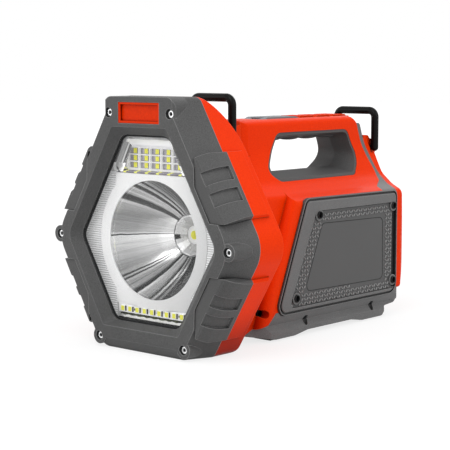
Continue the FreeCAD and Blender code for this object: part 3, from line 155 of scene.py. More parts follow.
class Finish(Tree):
    """One material, laid out on the piece's own coordinates."""

    def __init__(self, name):
        self.material = bpy.data.materials.new(name)
        self.material.use_nodes = True
        super().__init__(self.material.node_tree)
        self.tree.nodes.clear()
        self.spot = self.add("ShaderNodeTexCoord", out="Object")

    def noise(self, size, detail=2, stretch=(1, 1, 1)):
        """Noise whose patches are about size metres across."""
        place = self.add("ShaderNodeMapping", {}, {"Vector": self.spot, "Scale": stretch})
        return self.add("ShaderNodeTexNoise", {}, {"Vector": place, "Scale": 1 / size, "Detail": detail})

    def mix(self, share, first, second):
        """The first colour at a share of 0 and the second at 1."""
        return self.add("ShaderNodeMix", {"data_type": "RGBA"}, {0: share, 6: first, 7: second}, 2)

    def relief(self, height, depth, over=None):
        """The normal of a surface that rises by depth metres where height goes from 0 to 1."""
        values = {"Height": height, "Distance": depth}
        return self.add("ShaderNodeBump", {}, {**values, "Normal": over} if over else values)

    def softened(self, radius):
        """The normal as if each edge had that radius."""
        return self.add("ShaderNodeBevel", {"samples": 8}, {"Radius": radius})

    def crease(self, reach):
        """How closed in a spot is: 0 in the open, 1 deep in a joint."""
        return 1 - self.add("ShaderNodeAmbientOcclusion", {"samples": 6}, {"Distance": reach}, "AO")

    def worn_and_lit(self, rounded):
        """How much of an edge a spot is, from the normal that softened() gives."""
        flat = self.add("ShaderNodeNewGeometry", out="Normal")
        along = self.add("ShaderNodeVectorMath", {"operation": "DOT_PRODUCT"}, [rounded, flat], "Value")
        return (1 - along) * 5

    def done(self, values):
        """Ends the tree in one shader with these values and links, and gives the material."""
        shader = self.add("ShaderNodeBsdfPrincipled", {}, values)
        self.add("ShaderNodeOutputMaterial", {}, {"Surface": shader})
        return self.material


def dimmed(code, share):
    """A screen colour with a share of its light."""
    return [part * share for part in colour(code)[:3]] + [1.0]


def moulded(name, dark, light, rubbed_and_lit, grain, rough, depth, edge=0.0005, wear=0.5, corner_shade=1.2, sheen=0.25,
            sunk=None, hollow_shade=0.0):
    """A moulded skin: a fine grain in tone, gloss and relief over slow clouding, with edges paler from wear
    and a painted highlight, and painted shade in joints, corners, wide hollow places and the share that
    sunk() gives."""
    skin = Finish(name)
    speckle, cloud = skin.noise(grain, 3), skin.noise(0.06, 3)
    rounded = skin.softened(edge)
    tone = skin.mix(((speckle - 0.5) * 2.2 + (cloud - 0.5) * 0.8 + 0.5).clamp(), colour(dark), colour(light))
    if sunk:
        tone = skin.mix(sunk(skin), tone, dimmed(dark, 0.8))
    # Painted shade darkens wide hollows.
    if hollow_shade:
        shade = ((skin.crease(0.05) - 0.2) * 2.0 * hollow_shade).clamp()
        tone = skin.mix(shade, tone, dimmed(dark, 0.42))
    # Edges turn paler: partly wear, partly a painted edge highlight.
    rub_and_highlight = (skin.worn_and_lit(rounded) * (cloud + 0.5) * wear).clamp()
    shine = (speckle - 0.5) * 0.25 + (cloud - 0.5) * 0.12 + rough - rub_and_highlight * 0.08
    # Painted shade in joints and corners, from how closed in each spot is.
    corner_shade_share = ((skin.crease(0.004) - 0.3) * 1.7 * corner_shade).clamp()
    worn_and_lit = skin.mix(rub_and_highlight, tone, colour(rubbed_and_lit))
    return skin.done({"Base Color": skin.mix(corner_shade_share, worn_and_lit, dimmed(dark, 0.12)), "Roughness": shine,
                      "Specular IOR Level": sheen, "Normal": skin.relief(speckle, depth, rounded)})


def dress(material, *nodes):
    """Gives CAD nodes their finish."""
    for node in nodes:
        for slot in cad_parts[node].material_slots:
            slot.material = material


# The red shells get painted shade in their wide hollows.
red_plastic = moulded("satin_red", "#ec3200", "#f83c00", "#ff6428", grain=0.0011, rough=0.4, depth=0.00002,
                      edge=0.0007, corner_shade=0.9, sheen=0.06, hollow_shade=1.0)
dress(red_plastic, "head_shell", "housing_left", "housing_right", "rear_cover")


# Lower tub and rubber feet
# The tub is grey glass-filled nylon with a coarse grain. Four toothed feet of black rubber are
# pressed into pockets in its runners.

grey_tub = moulded("grained_grey", "#626262", "#7c7c7c", "#969696", grain=0.0007, rough=0.62, depth=0.00006,
                   edge=0.0007, wear=0.6)
black_rubber = moulded("black_rubber", "#1c1d1e", "#2c2d2e", "#454647", grain=0.0005, rough=0.72,
                       depth=0.00004, edge=0.0004, wear=0.4)
dress(grey_tub, "base_housing")
dress(black_rubber, "feet")


# Rear frame, charging sockets and their flap
# A grey frame closes the halves at the rear. The socket block is black nylon with sprung metal
# contacts, and a soft flap on a steel pin covers it.

grey_frame = moulded("frame_grey", "#656565", "#777777", "#8f8f8f", grain=0.0009, rough=0.5, depth=0.00003)
black_nylon = moulded("black_nylon", "#131415", "#1d1e1f", "#3a3b3c", grain=0.0006, rough=0.5,
                      depth=0.00002, edge=0.0003, wear=0.4)
dress(grey_frame, "rear_frame")
dress(black_nylon, "charge_sockets")
dress(black_rubber, "port_cover")


def metal(name, dark, light, rough):
    """A bare or plated metal with fine variation from wear."""
    skin = Finish(name)
    wear = skin.noise(0.0012, 3)
    rounded = skin.softened(0.0003)
    return skin.done({"Base Color": skin.mix(wear, colour(dark), colour(light)), "Metallic": 1.0,
                      "Roughness": wear * 0.2 + rough, "Normal": skin.relief(wear, 0.00001, rounded)})


blackened = metal("blackened_steel", "#141415", "#232426", rough=0.35)
dress(blackened, "port_pin")


# Handle: grip lining, ridged strip and switch pad
# Soft overmouldings: dark grey in the hand hole, with swells for the fingers under its top, red
# with grip ridges along the top, and a light grey pad round two rubber buttons.

grip_grey = moulded("grip_grey", "#4a4a4a", "#585858", "#707070", grain=0.0008, rough=0.58, depth=0.00003,
                    edge=0.0006, wear=0.4)
grip_red = moulded("grip_red", "#d82e00", "#ec3a00", "#ff6a30", grain=0.0006, rough=0.6, depth=0.00003,
                   edge=0.0008, wear=0.7, corner_shade=1.8, sheen=0.06)
pad_grey = moulded("pad_grey", "#82868a", "#92969a", "#a6aaac", grain=0.0006, rough=0.55, depth=0.00003,
                   edge=0.0006, wear=0.4)
dress(grip_grey, "handle_liner")
dress(grip_red, "handle_cap")
dress(pad_grey, "switch_pad", "spot_button", "work_button")

origin = 0.1522                               # the frame's origin, behind the front rim
swell_height, swell_places = 0.1713, (0.1665, 0.193, 0.2195, 0.246)


def tree_of(name, *sizes):
    """An empty Geometry Nodes tree with a mesh and the named sizes as its inputs."""
    group = bpy.data.node_groups.new(name, "GeometryNodeTree")
    group.interface.new_socket("Geometry", in_out="INPUT", socket_type="NodeSocketGeometry")
    for size in sizes:
        group.interface.new_socket(size, in_out="INPUT", socket_type="NodeSocketFloat")
    group.interface.new_socket("Geometry", in_out="OUTPUT", socket_type="NodeSocketGeometry")
    tree = Tree(group)
    ends = group.nodes.new("NodeGroupInput").outputs
    return tree, Socket(tree, ends["Geometry"]), *[Socket(tree, ends[size]) for size in sizes]


def ends_in(tree, instances, material):
    """Turns a tree's instances into one mesh with its material."""
    real = tree.add("GeometryNodeRealizeInstances", {}, [instances])
    finished = tree.add("GeometryNodeSetMaterial", {}, {"Geometry": real, "Material": material})
    tree.add("NodeGroupOutput", {}, [finished])
    return tree.tree


def grow(name, tree, places, turns=(), links=(), **sizes):
    """Runs a tree on points, with links where they make a line, and keeps the result as a plain mesh."""
    points = bpy.data.meshes.new(name)
    points.from_pydata(places, links, [])
    if turns:
        points.attributes.new("turn", "FLOAT", "POINT").data.foreach_set("value", turns)
    piece = bpy.data.objects.new(name, points)
    scene.collection.objects.link(piece)
    run = piece.modifiers.new("grow", "NODES")
    run.node_group = tree
    for item in tree.interface.items_tree:
        if item.in_out == "INPUT" and item.name in sizes:
            run[item.identifier] = sizes[item.name]
    shape = bpy.data.meshes.new_from_object(piece.evaluated_get(bpy.context.evaluated_depsgraph_get()))
    piece.modifiers.clear()
    piece.data = shape
    return piece


tree, points, half_length, half_width, rise = tree_of("finger_waves", "half_length", "half_width", "rise")
wave = tree.add("GeometryNodeMeshUVSphere", {}, {"Segments": 24, "Rings": 12, "Radius": 1.0}, "Mesh")
wave = tree.add("GeometryNodeSetShadeSmooth", {}, {"Geometry": wave})
swell_size = tree.vector(half_width, half_length, rise)
wave = tree.add("GeometryNodeTransform", {}, {"Geometry": wave, "Scale": swell_size})
waves = tree.add("GeometryNodeInstanceOnPoints", {}, {"Points": points, "Instance": wave})
spots = [(0.0, y - origin, swell_height) for y in swell_places]
waves = grow("grip_finger_waves", ends_in(tree, waves, grip_grey), spots, half_length=0.0135,
             half_width=0.0075, rise=0.0026)
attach(waves, "lamp")


# Hanging loops
# Bent steel rod with a thick satin black coating. The bare ends of each loop are its pins, which
# turn in the bores of two lugs on the housing.

coating = moulded("black_coating", "#020202", "#060606", "#141415", grain=0.0015, rough=0.38, depth=0.00002,
                  wear=0.2, corner_shade=0.0, sheen=0.12)
dress(coating, "front_bail", "rear_bail")


# Side panels
# Grey moulded plates, each in a pocket of the body, with a raised tread of small lozenges on the
# sunk floor round a plain field.

panel_floor = 0.0535                          # the sunk floors, from the middle


def in_recess(skin):
    """1 on the panels' recessed floors, which take painted shade."""
    across, _, _ = skin.split(skin.spot)
    return abs(across) < panel_floor + 0.0003


panel_grey = moulded("panel_grey", "#616161", "#757575", "#949494", grain=0.0008, rough=0.5, depth=0.00003,
                     edge=0.0007, wear=0.9, corner_shade=1.6, sunk=in_recess)
# The raised tread is a lighter copy of the panel grey: painted light on its tops.
tread_grey = moulded("tread_grey", "#7e7e7e", "#929292", "#acacac", grain=0.0006, rough=0.5, depth=0.00002,
                     edge=0.0003, wear=0.9, corner_shade=0.2)
dress(panel_grey, "side_panel_left", "side_panel_right")

tread_zone = [(0.1278, 0.0271), (0.1651, 0.1093), (0.282, 0.1086), (0.282, 0.0271)]
plain_zone = [(0.151, 0.0395), (0.1755, 0.0975), (0.267, 0.0956), (0.268, 0.0377)]
panel_screws = [(0.1376, 0.035), (0.2826, 0.035), (0.1693, 0.1054), (0.2826, 0.1054)]
recess_head = [(0.169, 0.1091), (0.279, 0.1084)]
slot_middle, slot_height = 0.0677, 0.079      # the upright slot behind each panel
tread_start, tread_pitch = (0.1285, 0.0292), 0.0036
tread_columns, tread_lines, tread_slant = 46, 25, 42
boss_clear, rim_clear, field_clear = 0.0068, 0.0015, 0.0021


def margin(zone, place):
    """How far a place lies inside a clockwise zone, negative outside."""
    nearest = 1.0
    for (y0, z0), (y1, z1) in zip(zone, zone[1:] + zone[:1]):
        run, rise = y1 - y0, z1 - z0
        nearest = min(nearest, ((place[0] - y0) * rise - (place[1] - z0) * run) / math.hypot(run, rise))
    return nearest


tree, points, length, width, rise, side = tree_of("tread", "length", "width", "rise", "side")
lozenge = tree.add("GeometryNodeMeshCone", {}, {
    "Vertices": 8, "Radius Top": 0.36, "Radius Bottom": 0.5, "Depth": 1.0}, "Mesh")
size = tree.vector(length, width, rise)
lozenge = tree.add("GeometryNodeTransform", {}, {"Geometry": lozenge, "Scale": size})
turn = tree.add("GeometryNodeInputNamedAttribute", {"data_type": "FLOAT"}, {"Name": "turn"})
upright = tree.rotation(0.0, side * math.pi / 2)
turned = tree.add("FunctionNodeRotateRotation", {}, [upright, tree.rotation(turn)])
tread = tree.add("GeometryNodeInstanceOnPoints", {}, {
    "Points": points, "Instance": lozenge, "Rotation": turned})
tread_tree = ends_in(tree, tread, tread_grey)

for side, hand in ((1, "right"), (-1, "left")):
    spots, turns = [], []
    for column in range(tread_columns):
        for line in range(tread_lines):
            y, z = tread_start[0] + column * tread_pitch, tread_start[1] + line * tread_pitch
            clear = all(math.hypot(y - a, z - b) > boss_clear for a, b in panel_screws)
            if clear and margin(tread_zone, (y, z)) > rim_clear and margin(plain_zone, (y, z)) < -field_clear:
                spots.append((side * panel_floor, y - origin, z))
                turns.append(math.radians(tread_slant if (column + line) % 2 else -tread_slant))
    tread = grow("panel_tread_" + hand, tread_tree, spots, turns, length=0.0039, width=0.0013,
                 rise=0.0009, side=side)
    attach(tread, "lamp")

tree, line, corner, thickness = tree_of("field_edge", "corner", "thickness")
curve = tree.add("GeometryNodeFilletCurve", {"mode": "POLY"}, {
    "Curve": tree.add("GeometryNodeMeshToCurve", {}, {"Mesh": line}), "Radius": corner, "Count": 5})
round_bar = tree.add("GeometryNodeCurvePrimitiveCircle", {}, {"Resolution": 6, "Radius": thickness}, "Curve")
edging = tree.add("GeometryNodeCurveToMesh", {}, {"Curve": curve, "Profile Curve": round_bar})
edging_tree = ends_in(tree, edging, black_nylon)


def blocks_of(material):
    """The tree of equal blocks, one on each point, in that material."""
    tree, points, wide, deep, tall = tree_of("blocks", "wide", "deep", "tall")
    block = tree.add("GeometryNodeMeshCube", {}, {"Size": tree.vector(wide, deep, tall)}, "Mesh")
    blocks = tree.add("GeometryNodeInstanceOnPoints", {}, {"Points": points, "Instance": block})
    return ends_in(tree, blocks, material)


slot_shade_blocks = blocks_of(black_rubber)
for side, hand in ((1, "right"), (-1, "left")):
    spots = [(side * panel_floor, y - origin, z) for y, z in plain_zone]
    field = grow("panel_field_edge_" + hand, edging_tree, spots, links=[(0, 1), (1, 2), (2, 3), (3, 0)],
                 corner=0.005, thickness=0.00028)
    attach(field, "lamp")
    # A black line along the top edge of each recess is a painted shadow.
    spots = [(side * panel_floor, y - origin, z) for y, z in recess_head]
    recess_shadow = grow("panel_recess_line_" + hand, edging_tree, spots, links=[(0, 1)], corner=0.0,
                thickness=0.0004)
    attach(recess_shadow, "lamp")
    # Black strips on the floor and the wall of each upright slot are painted shade.
    for part, x, y, wide, deep in (("floor", 0.0512, 0.2854, 0.0005, 0.0066),
                                   ("wall", 0.0525, 0.28855, 0.0021, 0.0003)):
        slot_shade = grow(f"panel_slot_shade_{part}_{hand}", slot_shade_blocks, [(side * x, y - origin, slot_middle)],
                     wide=wide, deep=deep, tall=slot_height)
        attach(slot_shade, "lamp")


# Lamp carrier
# A silvered plastic moulding behind the window, with openings for the lamps. Fine round ribs run
# across it on either side of the reflector.

lamp_axis = 0.0926                            # height of the reflector's axis


def silvered(name, dark, light, rough, metallic, painted_glow=0.0):
    """A silvered or foiled skin with a slow haze, and a painted glow that stands for the light it mirrors."""
    skin = Finish(name)
    haze = skin.noise(0.012, 3)
    tone = skin.mix(haze, colour(dark), colour(light))
    return skin.done({"Base Color": tone, "Metallic": metallic, "Roughness": (haze - 0.5) * 0.1 + rough,
                      "Emission Color": tone, "Emission Strength": painted_glow, "Normal": skin.softened(0.0003)})


silver = silvered("silvered_plastic", "#d6d7d8", "#ececec", rough=0.4, metallic=0.15, painted_glow=0.3)
shadow = silvered("shaded_plastic", "#a8a8a8", "#bcbcbc", rough=0.4, metallic=0.15, painted_glow=0.3)
dress(shadow, "lamp_frame")

rib_count, ribs_middle, ribs_front = 65, 0.0862, 0.0163
bowl_reach, band_reach = 0.0612, 0.0425       # the ribs end at the reflector or at the band over it
corner_out, corner_up, corner_slope = 0.0841, 0.0925, 0.577     # the side corner of the ribbed field
tree, points, pitch, radius, front = tree_of("carrier_ribs", "pitch", "radius", "front")
grid = tree.add("GeometryNodeMeshGrid", {}, {
    "Size X": 2.0, "Size Y": pitch * (rib_count - 1), "Vertices X": 2, "Vertices Y": rib_count}, "Mesh")
hand, level, _ = tree.split(tree.add("GeometryNodeInputPosition"))
height = level + ribs_middle
outer = corner_out - abs(height - corner_up) * corner_slope
inner = ((bowl_reach ** 2 - (height - lamp_axis) ** 2).most(0.0) ** 0.5).most(band_reach)
place = tree.vector(hand * (inner + outer) / 2, front, height)
length = tree.vector((outer - inner).most(0.0001), 1.0, 1.0)
rib = tree.add("GeometryNodeMeshCylinder", {}, {"Vertices": 10, "Radius": radius, "Depth": 1.0}, "Mesh")
rib = tree.add("GeometryNodeTransform", {}, {"Geometry": rib, "Rotation": (0, math.pi / 2, 0)})
kept = tree.add("GeometryNodeStoreNamedAttribute", {"data_type": "FLOAT_VECTOR"},
                {"Geometry": grid, "Name": "length", "Value": length})
moved = tree.add("GeometryNodeSetPosition", {}, {"Geometry": kept, "Position": place})
length = tree.add("GeometryNodeInputNamedAttribute", {"data_type": "FLOAT_VECTOR"}, {"Name": "length"})
ribs = tree.add("GeometryNodeInstanceOnPoints", {}, {"Points": moved, "Instance": rib, "Scale": length})
ribs = grow("carrier_ribs", ends_in(tree, ribs, silver), [], pitch=0.0019, radius=0.0006,
            front=ribs_front - origin)
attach(ribs, "lamp")


# Ring plate
# A thin plate moulded in white plastic, which lies on the carrier's front: a ring round the
# reflector's mouth, with a band over it that borders the upper light.

white = Finish("white_plate")
dust = white.noise(0.004, 3)
across, _, up = white.split(white.spot)
clean = white.mix(dust, colour("#f6f6f6"), colour("#fefefe"))
# Painted shade darkens the plate towards its lower right.
shade = ((across - (up - lamp_axis) * 0.6 + 0.01) * 11).clamp()     # grows towards the lower right
clean = white.mix(shade, clean, colour("#d6d6d6"))
# A painted glow lifts the plate.
white = white.done({"Base Color": clean, "Roughness": dust * 0.1 + 0.3, "Emission Color": clean,
                    "Emission Strength": 0.1, "Normal": white.softened(0.0003)})


def plate(name, outlines, front, rear, material):
    """A flat plate in the front view between two depths, from an outer outline and its holes."""
    curve = bpy.data.curves.new(name, "CURVE")
    curve.dimensions, curve.fill_mode, curve.extrude = "2D", "BOTH", (rear - front) / 2
    for outline in outlines:
        spline = curve.splines.new("POLY")
        spline.points.add(len(outline) - 1)
        spline.use_cyclic_u = True
        for point, (x, z) in zip(spline.points, outline):
            point.co = (x, z, 0.0, 1.0)
    piece = bpy.data.objects.new(name, curve)
    shape = bpy.data.meshes.new_from_object(piece)
    middle = (front + rear) / 2 - origin
    shape.transform(Matrix(((1, 0, 0, 0), (0, 0, -1, middle), (0, 1, 0, 0), (0, 0, 0, 1))))
    net = bmesh.new()
    net.from_mesh(shape)
    bmesh.ops.remove_doubles(net, verts=net.verts, dist=0.000001)
    bmesh.ops.recalc_face_normals(net, faces=net.faces)
    net.to_mesh(shape)
    net.free()
    shape.materials.clear()
    shape.materials.append(material)
    piece = bpy.data.objects.new(name, shape)
    scene.collection.objects.link(piece)
    return piece


bore, reach = 0.0496, 0.0608                  # radii of the ring's hole and its outside
band_side, band_top, band_foot = 0.042, lamp_axis + 0.0544, lamp_axis - 0.0556
ring_front, ring_rear = 0.0156, 0.0164
turns = [math.radians(90 + 3 * step) for step in range(121)]
circle = [(bore * math.cos(turn), lamp_axis + bore * math.sin(turn)) for turn in turns[:-1]]
arc = [(reach * math.cos(turn), lamp_axis + reach * math.sin(turn)) for turn in turns]
left = [spot for spot in arc if spot[0] < -band_side and abs(spot[1] - lamp_axis) < 0.044]
low = [spot for spot in arc if spot[1] < band_foot - 0.0002]
corner = [(-band_side, band_top), *left, (-band_side, band_foot)]
outline = corner + low + [(-x, z) for x, z in reversed(corner)]
ring = plate("ring_and_band", [outline, circle], ring_front, ring_rear, white)
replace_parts(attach(ring, "lamp"), "ring_plate")


# Reflector and collar
# The reflector is a plastic bowl, vacuum-metallised, with its reflections painted on as streaks and a
# painted glow. A collar with twelve facets leads the spot LED's light into it; their tones are painted too.

mirror = Finish("streaked_reflector")
across, deep, up = mirror.split(mirror.spot)
angle = (up - lamp_axis).angle(across * -1)
fine = mirror.add("ShaderNodeTexNoise", {}, {
    "Vector": mirror.vector(angle * 30, deep * 12, 0.0), "Scale": 1.0, "Detail": 4})
sway = mirror.add("ShaderNodeTexNoise", {}, {
    "Vector": mirror.vector(angle, deep * 160, 0.0), "Scale": 1.0, "Detail": 2})
turn = angle / math.pi + (sway - 0.5) * 0.012


def bands(rows):
    """A grey ramp, from pairs of a place and a tone."""
    return {"stops": [(place, (tone, tone, tone, 1.0)) for place, tone in rows]}


# Painted reflections: what the bowl mirrors, as tones round its lower and its upper half.
below = mirror.add("ShaderNodeValToRGB", bands([
    (0.0, 1.0), (0.03, 0.95), (0.1, 0.8), (0.16, 0.6), (0.2, 0.5), (0.225, 0.75), (0.234, 0.06),
    (0.239, 0.06), (0.244, 0.9), (0.251, 0.7), (0.257, 0.08), (0.262, 0.08), (0.268, 0.8), (0.285, 0.5),
    (0.297, 0.55), (0.303, 0.2), (0.309, 0.55), (0.33, 0.4), (0.347, 0.08), (0.37, 0.04), (0.376, 0.85),
    (0.395, 0.5), (0.44, 0.35), (0.468, 0.02), (0.476, 0.02), (0.49, 0.4), (0.515, 0.02), (0.545, 0.32),
    (0.56, 0.01), (0.66, 0.02), (0.7, 0.15), (0.74, 0.02)]), [turn * -1])
above = mirror.add("ShaderNodeValToRGB", bands([
    (0.0, 0.02), (0.005, 0.02), (0.012, 1.0), (0.022, 0.6), (0.06, 0.62), (0.12, 0.62), (0.19, 0.78),
    (0.226, 0.95), (0.234, 0.14), (0.272, 0.1), (0.282, 0.6), (0.3, 0.8), (0.32, 0.55), (0.338, 0.75),
    (0.348, 0.1), (0.372, 0.06), (0.382, 0.7), (0.4, 0.45), (0.408, 0.04), (0.418, 0.04), (0.43, 0.45),
    (0.455, 0.3), (0.463, 0.03), (0.475, 0.35), (0.49, 0.03), (0.51, 0.25), (0.525, 0.01), (0.56, 0.12),
    (0.575, 0.01), (0.65, 0.01), (0.7, 0.1), (0.74, 0.01)]), [turn])
tone = mirror.mix(turn > 0, below, above)
tone = mirror.mix(((fine - 0.45) * 3).clamp() * 0.35, tone, colour("#39393a"))
# A painted glow lifts the bowl.
dress(mirror.done({"Base Color": tone, "Metallic": 0.8, "Roughness": fine * 0.12 + 0.1,
                   "Emission Color": tone, "Emission Strength": 0.22}), "spot_reflector")

collar = Finish("faceted_collar")
collar_throat = 0.0628
across, deep, up = collar.split(collar.spot)
turn = (up - lamp_axis).angle(across * -1) / math.tau + 0.5
# Painted reflections: each of the twelve facets gets its own tone, and the throat is painted lighter.
painted_facets = collar.add("ShaderNodeValToRGB", bands([
    (0.0, 0.5), (0.0833, 0.12), (0.1667, 0.55), (0.25, 0.75), (0.3333, 0.9), (0.4167, 0.7), (0.455, 0.04),
    (0.5, 0.7), (0.5833, 0.85), (0.6667, 0.7), (0.75, 0.9), (0.8333, 0.65), (0.9167, 0.8)]), [turn])
painted_facets.output.node.color_ramp.interpolation = "CONSTANT"
inside = ((deep - collar_throat + origin) * 4000).clamp()
painted_facets = collar.mix(inside * 0.75, painted_facets, colour("#d8d8d6"))
haze = collar.noise(0.004, 2)
dress(collar.done({"Base Color": painted_facets, "Metallic": 0.6, "Roughness": haze * 0.2 + 0.15,
                   "Normal": collar.softened(0.0003)}), "reflector_collar")


# Light trays
# Two mirrored trays behind the window hold the work lights: a deep one above the reflector, whose
# slanting ends are cut mirrors, and a shallow channel below it.

upper_pitch, lower_pitch = 0.0127, 0.0085     # from LED to LED in the upper and the lower light
tray_floor, tray_roof, tray_lip = 0.1502, 0.164, 0.1752     # heights where the tray's mirror changes

chrome = Finish("bright_chrome")
across, _, up = chrome.split(chrome.spot)
high, low = ((up - tray_roof) * 400).clamp(), ((tray_floor - up) * 3000).clamp()
haze = chrome.noise(0.003, 3, (0.2, 1, 1))
# Painted reflections: tones for the tray's lip, roof and floor, with painted glints of the LEDs on the floor.
lip = chrome.mix(haze, colour("#808082"), colour("#ececec"))
roof = chrome.mix(((up - tray_lip) * 3000).clamp(), colour("#ffffff"), lip)
lamps = ((across - 0.0055) * (math.tau / upper_pitch)).cosine()
painted_led_glints = chrome.mix((lamps * 4 - 2.3).clamp(), colour("#6e6874"), colour("#e8e860"))
tone = chrome.mix(low, chrome.mix(high, colour("#ececee"), roof), painted_led_glints)
# A painted glow lifts the tray.
dress(chrome.done({"Base Color": tone, "Metallic": 0.9 - (high + low).clamp() * 0.8, "Emission Color": tone,
                   "Emission Strength": 0.15, "Roughness": haze * 0.1 + 0.05 + high * 0.3,
                   "Normal": chrome.softened(0.0003)}), "upper_tray")

cut = Finish("cut_mirror")
gem_line, gem_scale = 0.1555, 260.0           # below this height the mirror is cut like gems
across, _, up = cut.split(cut.spot)
slant = abs(across) + (up - gem_line) / 1.92
# Painted reflections on the slanting ends, painted glints below gem_line, and a painted glow.
painted_facets = cut.add("ShaderNodeValToRGB", bands([
    (0.0, 0.16), (0.12, 0.1), (0.2, 0.95), (0.33, 0.3), (0.38, 0.6), (0.62, 0.75), (0.68, 0.3),
    (0.74, 0.22)]), [(slant - 0.0304) * 60])
painted_facets.output.node.color_ramp.interpolation = "CONSTANT"
gem_glints = cut.add("ShaderNodeTexVoronoi", {}, {"Vector": cut.spot, "Scale": gem_scale}, "Color")
gem_glints = cut.add("ShaderNodeRGBToBW", {}, [gem_glints])
foot = cut.mix(((gem_glints - 0.3) * 3).clamp(), colour("#6a6a6a"), colour("#ffffff"))
tone = cut.mix(((gem_line - up) * 3000).clamp(), painted_facets, foot)
fleck = cut.noise(0.002, 2)
cut = cut.done({"Base Color": tone, "Metallic": 0.3, "Roughness": fleck * 0.2 + 0.1, "Emission Color": tone,
                "Emission Strength": 0.25})
end_front, end_rear = 0.0158, 0.0163
end = [(0.0343, 0.148), (0.0235, 0.17), (0.0275, 0.1728), (0.0365, 0.1728), (0.0455, 0.157),
       (0.0455, 0.1495), (0.042, 0.148)]
for side, hand in ((1, "right"), (-1, "left")):
    piece = plate("tray_end_mirror_" + hand, [[(side * x, z) for x, z in end]], end_front, end_rear, cut)
    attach(piece, "lamp")

channel = Finish("channel_mirror")
channel_foot, channel_height = 0.0246, 0.0046
across, _, up = channel.split(channel.spot)
wave = (across * (math.tau / lower_pitch)).sine()
level = (up - channel_foot) / channel_height
# Painted reflections: a dark foot, a light band and a dark olive top whose edge ripples at the LEDs' pitch.
fall = channel.add("ShaderNodeValToRGB", bands([
    (0.0, 0.002), (0.22, 0.002), (0.28, 0.8), (1.0, 0.9)]), [level])
film = channel.noise(0.004, 2)
under = channel.mix(((film - 0.4) * 4).clamp(), colour("#141410"), colour("#464c22"))
channel_reflections = channel.mix(((level + wave * 0.05 + film * 0.1 - 0.64) * 14).clamp(), fall, under)
dress(channel.done({"Base Color": channel_reflections, "Metallic": 0.4, "Roughness": film * 0.2 + 0.15}), "lower_tray")


# LEDs and their boards
# Surface-mounted LEDs with yellow phosphor on white lacquered boards: three rows of five above,
# seen through a white egg-crate louvre, and one row of nine below with small black parts between.

phosphor = Finish("phosphor")
gel = phosphor.noise(0.0008, 3)
gold = phosphor.mix(gel, colour("#dcd83a"), colour("#f4f256"))
# A painted glow of the gel's own colour lifts it.
phosphor = phosphor.done({"Base Color": gold, "Roughness": gel * 0.2 + 0.3, "Emission Color": gold,
                          "Emission Strength": 0.2})
dress(phosphor, "spot_led")

lacquer = Finish("white_lacquer")
dust = lacquer.noise(0.002, 3)
clean = lacquer.mix(dust, colour("#f4f4f6"), colour("#fefefe"))
# A painted glow lifts the boards.
lacquer = lacquer.done({"Base Color": clean, "Roughness": dust * 0.15 + 0.35, "Emission Color": clean,
                        "Emission Strength": 0.15, "Normal": lacquer.softened(0.0002)})
dress(lacquer, "spot_board", "upper_board", "lower_board")
# Grey for the upper LED cases, set off to the left of the gel so that they also paint the reflection in each
# cell's left wall.
case_reflection = silvered("board_foil", "#8e8c94", "#aaa8b0", rough=0.25, metallic=0.2, painted_glow=0.06)

black_part = Finish("black_part")
skin = black_part.noise(0.001, 2)
black_part = black_part.done({"Base Color": black_part.mix(skin, colour("#101011"), colour("#26272a")),
                              "Roughness": skin * 0.2 + 0.35})
white_blocks, yellow_blocks, black_blocks = blocks_of(lacquer), blocks_of(phosphor), blocks_of(black_part)
case_blocks = blocks_of(case_reflection)

upper_levels, lower_level = (0.1537, 0.1596, 0.1655), 0.0328
case_depth, gel_depth, gel_rise = 0.001, 0.0009, 0.00015
upper = [(x * upper_pitch, z) for x in range(-2, 3) for z in upper_levels]
lower = [(x * lower_pitch, lower_level) for x in range(-4, 5)]
# Each row gives the cases' front, shift and width, and then the gel's shift and width.
for name, spots, frames, front, case_shift, case_wide, gel_shift, gel_wide in (
        ("upper", upper, case_blocks, 0.0226, -0.00235, 0.00842, -0.0005, 0.003808),
        ("lower", lower, white_blocks, 0.0146, 0.0, 0.004, -0.0003, 0.0036)):
    cases = grow(name + "_led_cases", frames,
                 [(x + case_shift, front + case_depth / 2 - origin, z) for x, z in spots],
                 wide=case_wide, deep=case_depth, tall=0.0048)
    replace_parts(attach(cases, "lamp"), name + "_leds")
    glow = grow(name + "_led_phosphor", yellow_blocks,
                [(x + gel_shift, front + gel_depth / 2 - gel_rise - origin, z) for x, z in spots],
                wide=gel_wide, deep=gel_depth, tall=0.003948)
    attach(glow, "lamp")

louvre_depth, louvre_place = 0.003, 0.0221 - origin
bars = [((x - 0.5) * upper_pitch - 0.001, louvre_place, upper_levels[1]) for x in range(-2, 4)]
uprights = grow("louvre_uprights", white_blocks, bars, wide=0.0014, deep=louvre_depth, tall=0.0177)
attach(uprights, "lamp")
for name, levels, tall in (("levels", (0.15665, 0.16255, 0.1685), 0.0009), ("sill", (0.1503,), 0.0018)):
    bars = [(-0.0005, louvre_place, z) for z in levels]
    piece = grow("louvre_" + name, white_blocks, bars, wide=0.0647, deep=louvre_depth, tall=tall)
    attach(piece, "lamp")

small_place = 0.0153 - origin
for name, columns, shift, wide, tall in (("diodes", range(-4, 5), 0.0024, 0.0015, 0.0042),
                                         ("resistors", (-3, 3), 0.0047, 0.0008, 0.0018)):
    spots = [(x * lower_pitch + shift, small_place, lower_level) for x in columns]
    piece = grow("small_" + name, black_blocks, spots, wide=wide, deep=0.0006, tall=tall)
    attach(piece, "lamp")


# Heat sink
# Cast aluminium cup with fins, machined where the star board lies on it. Its flange rests on the
# head shell.

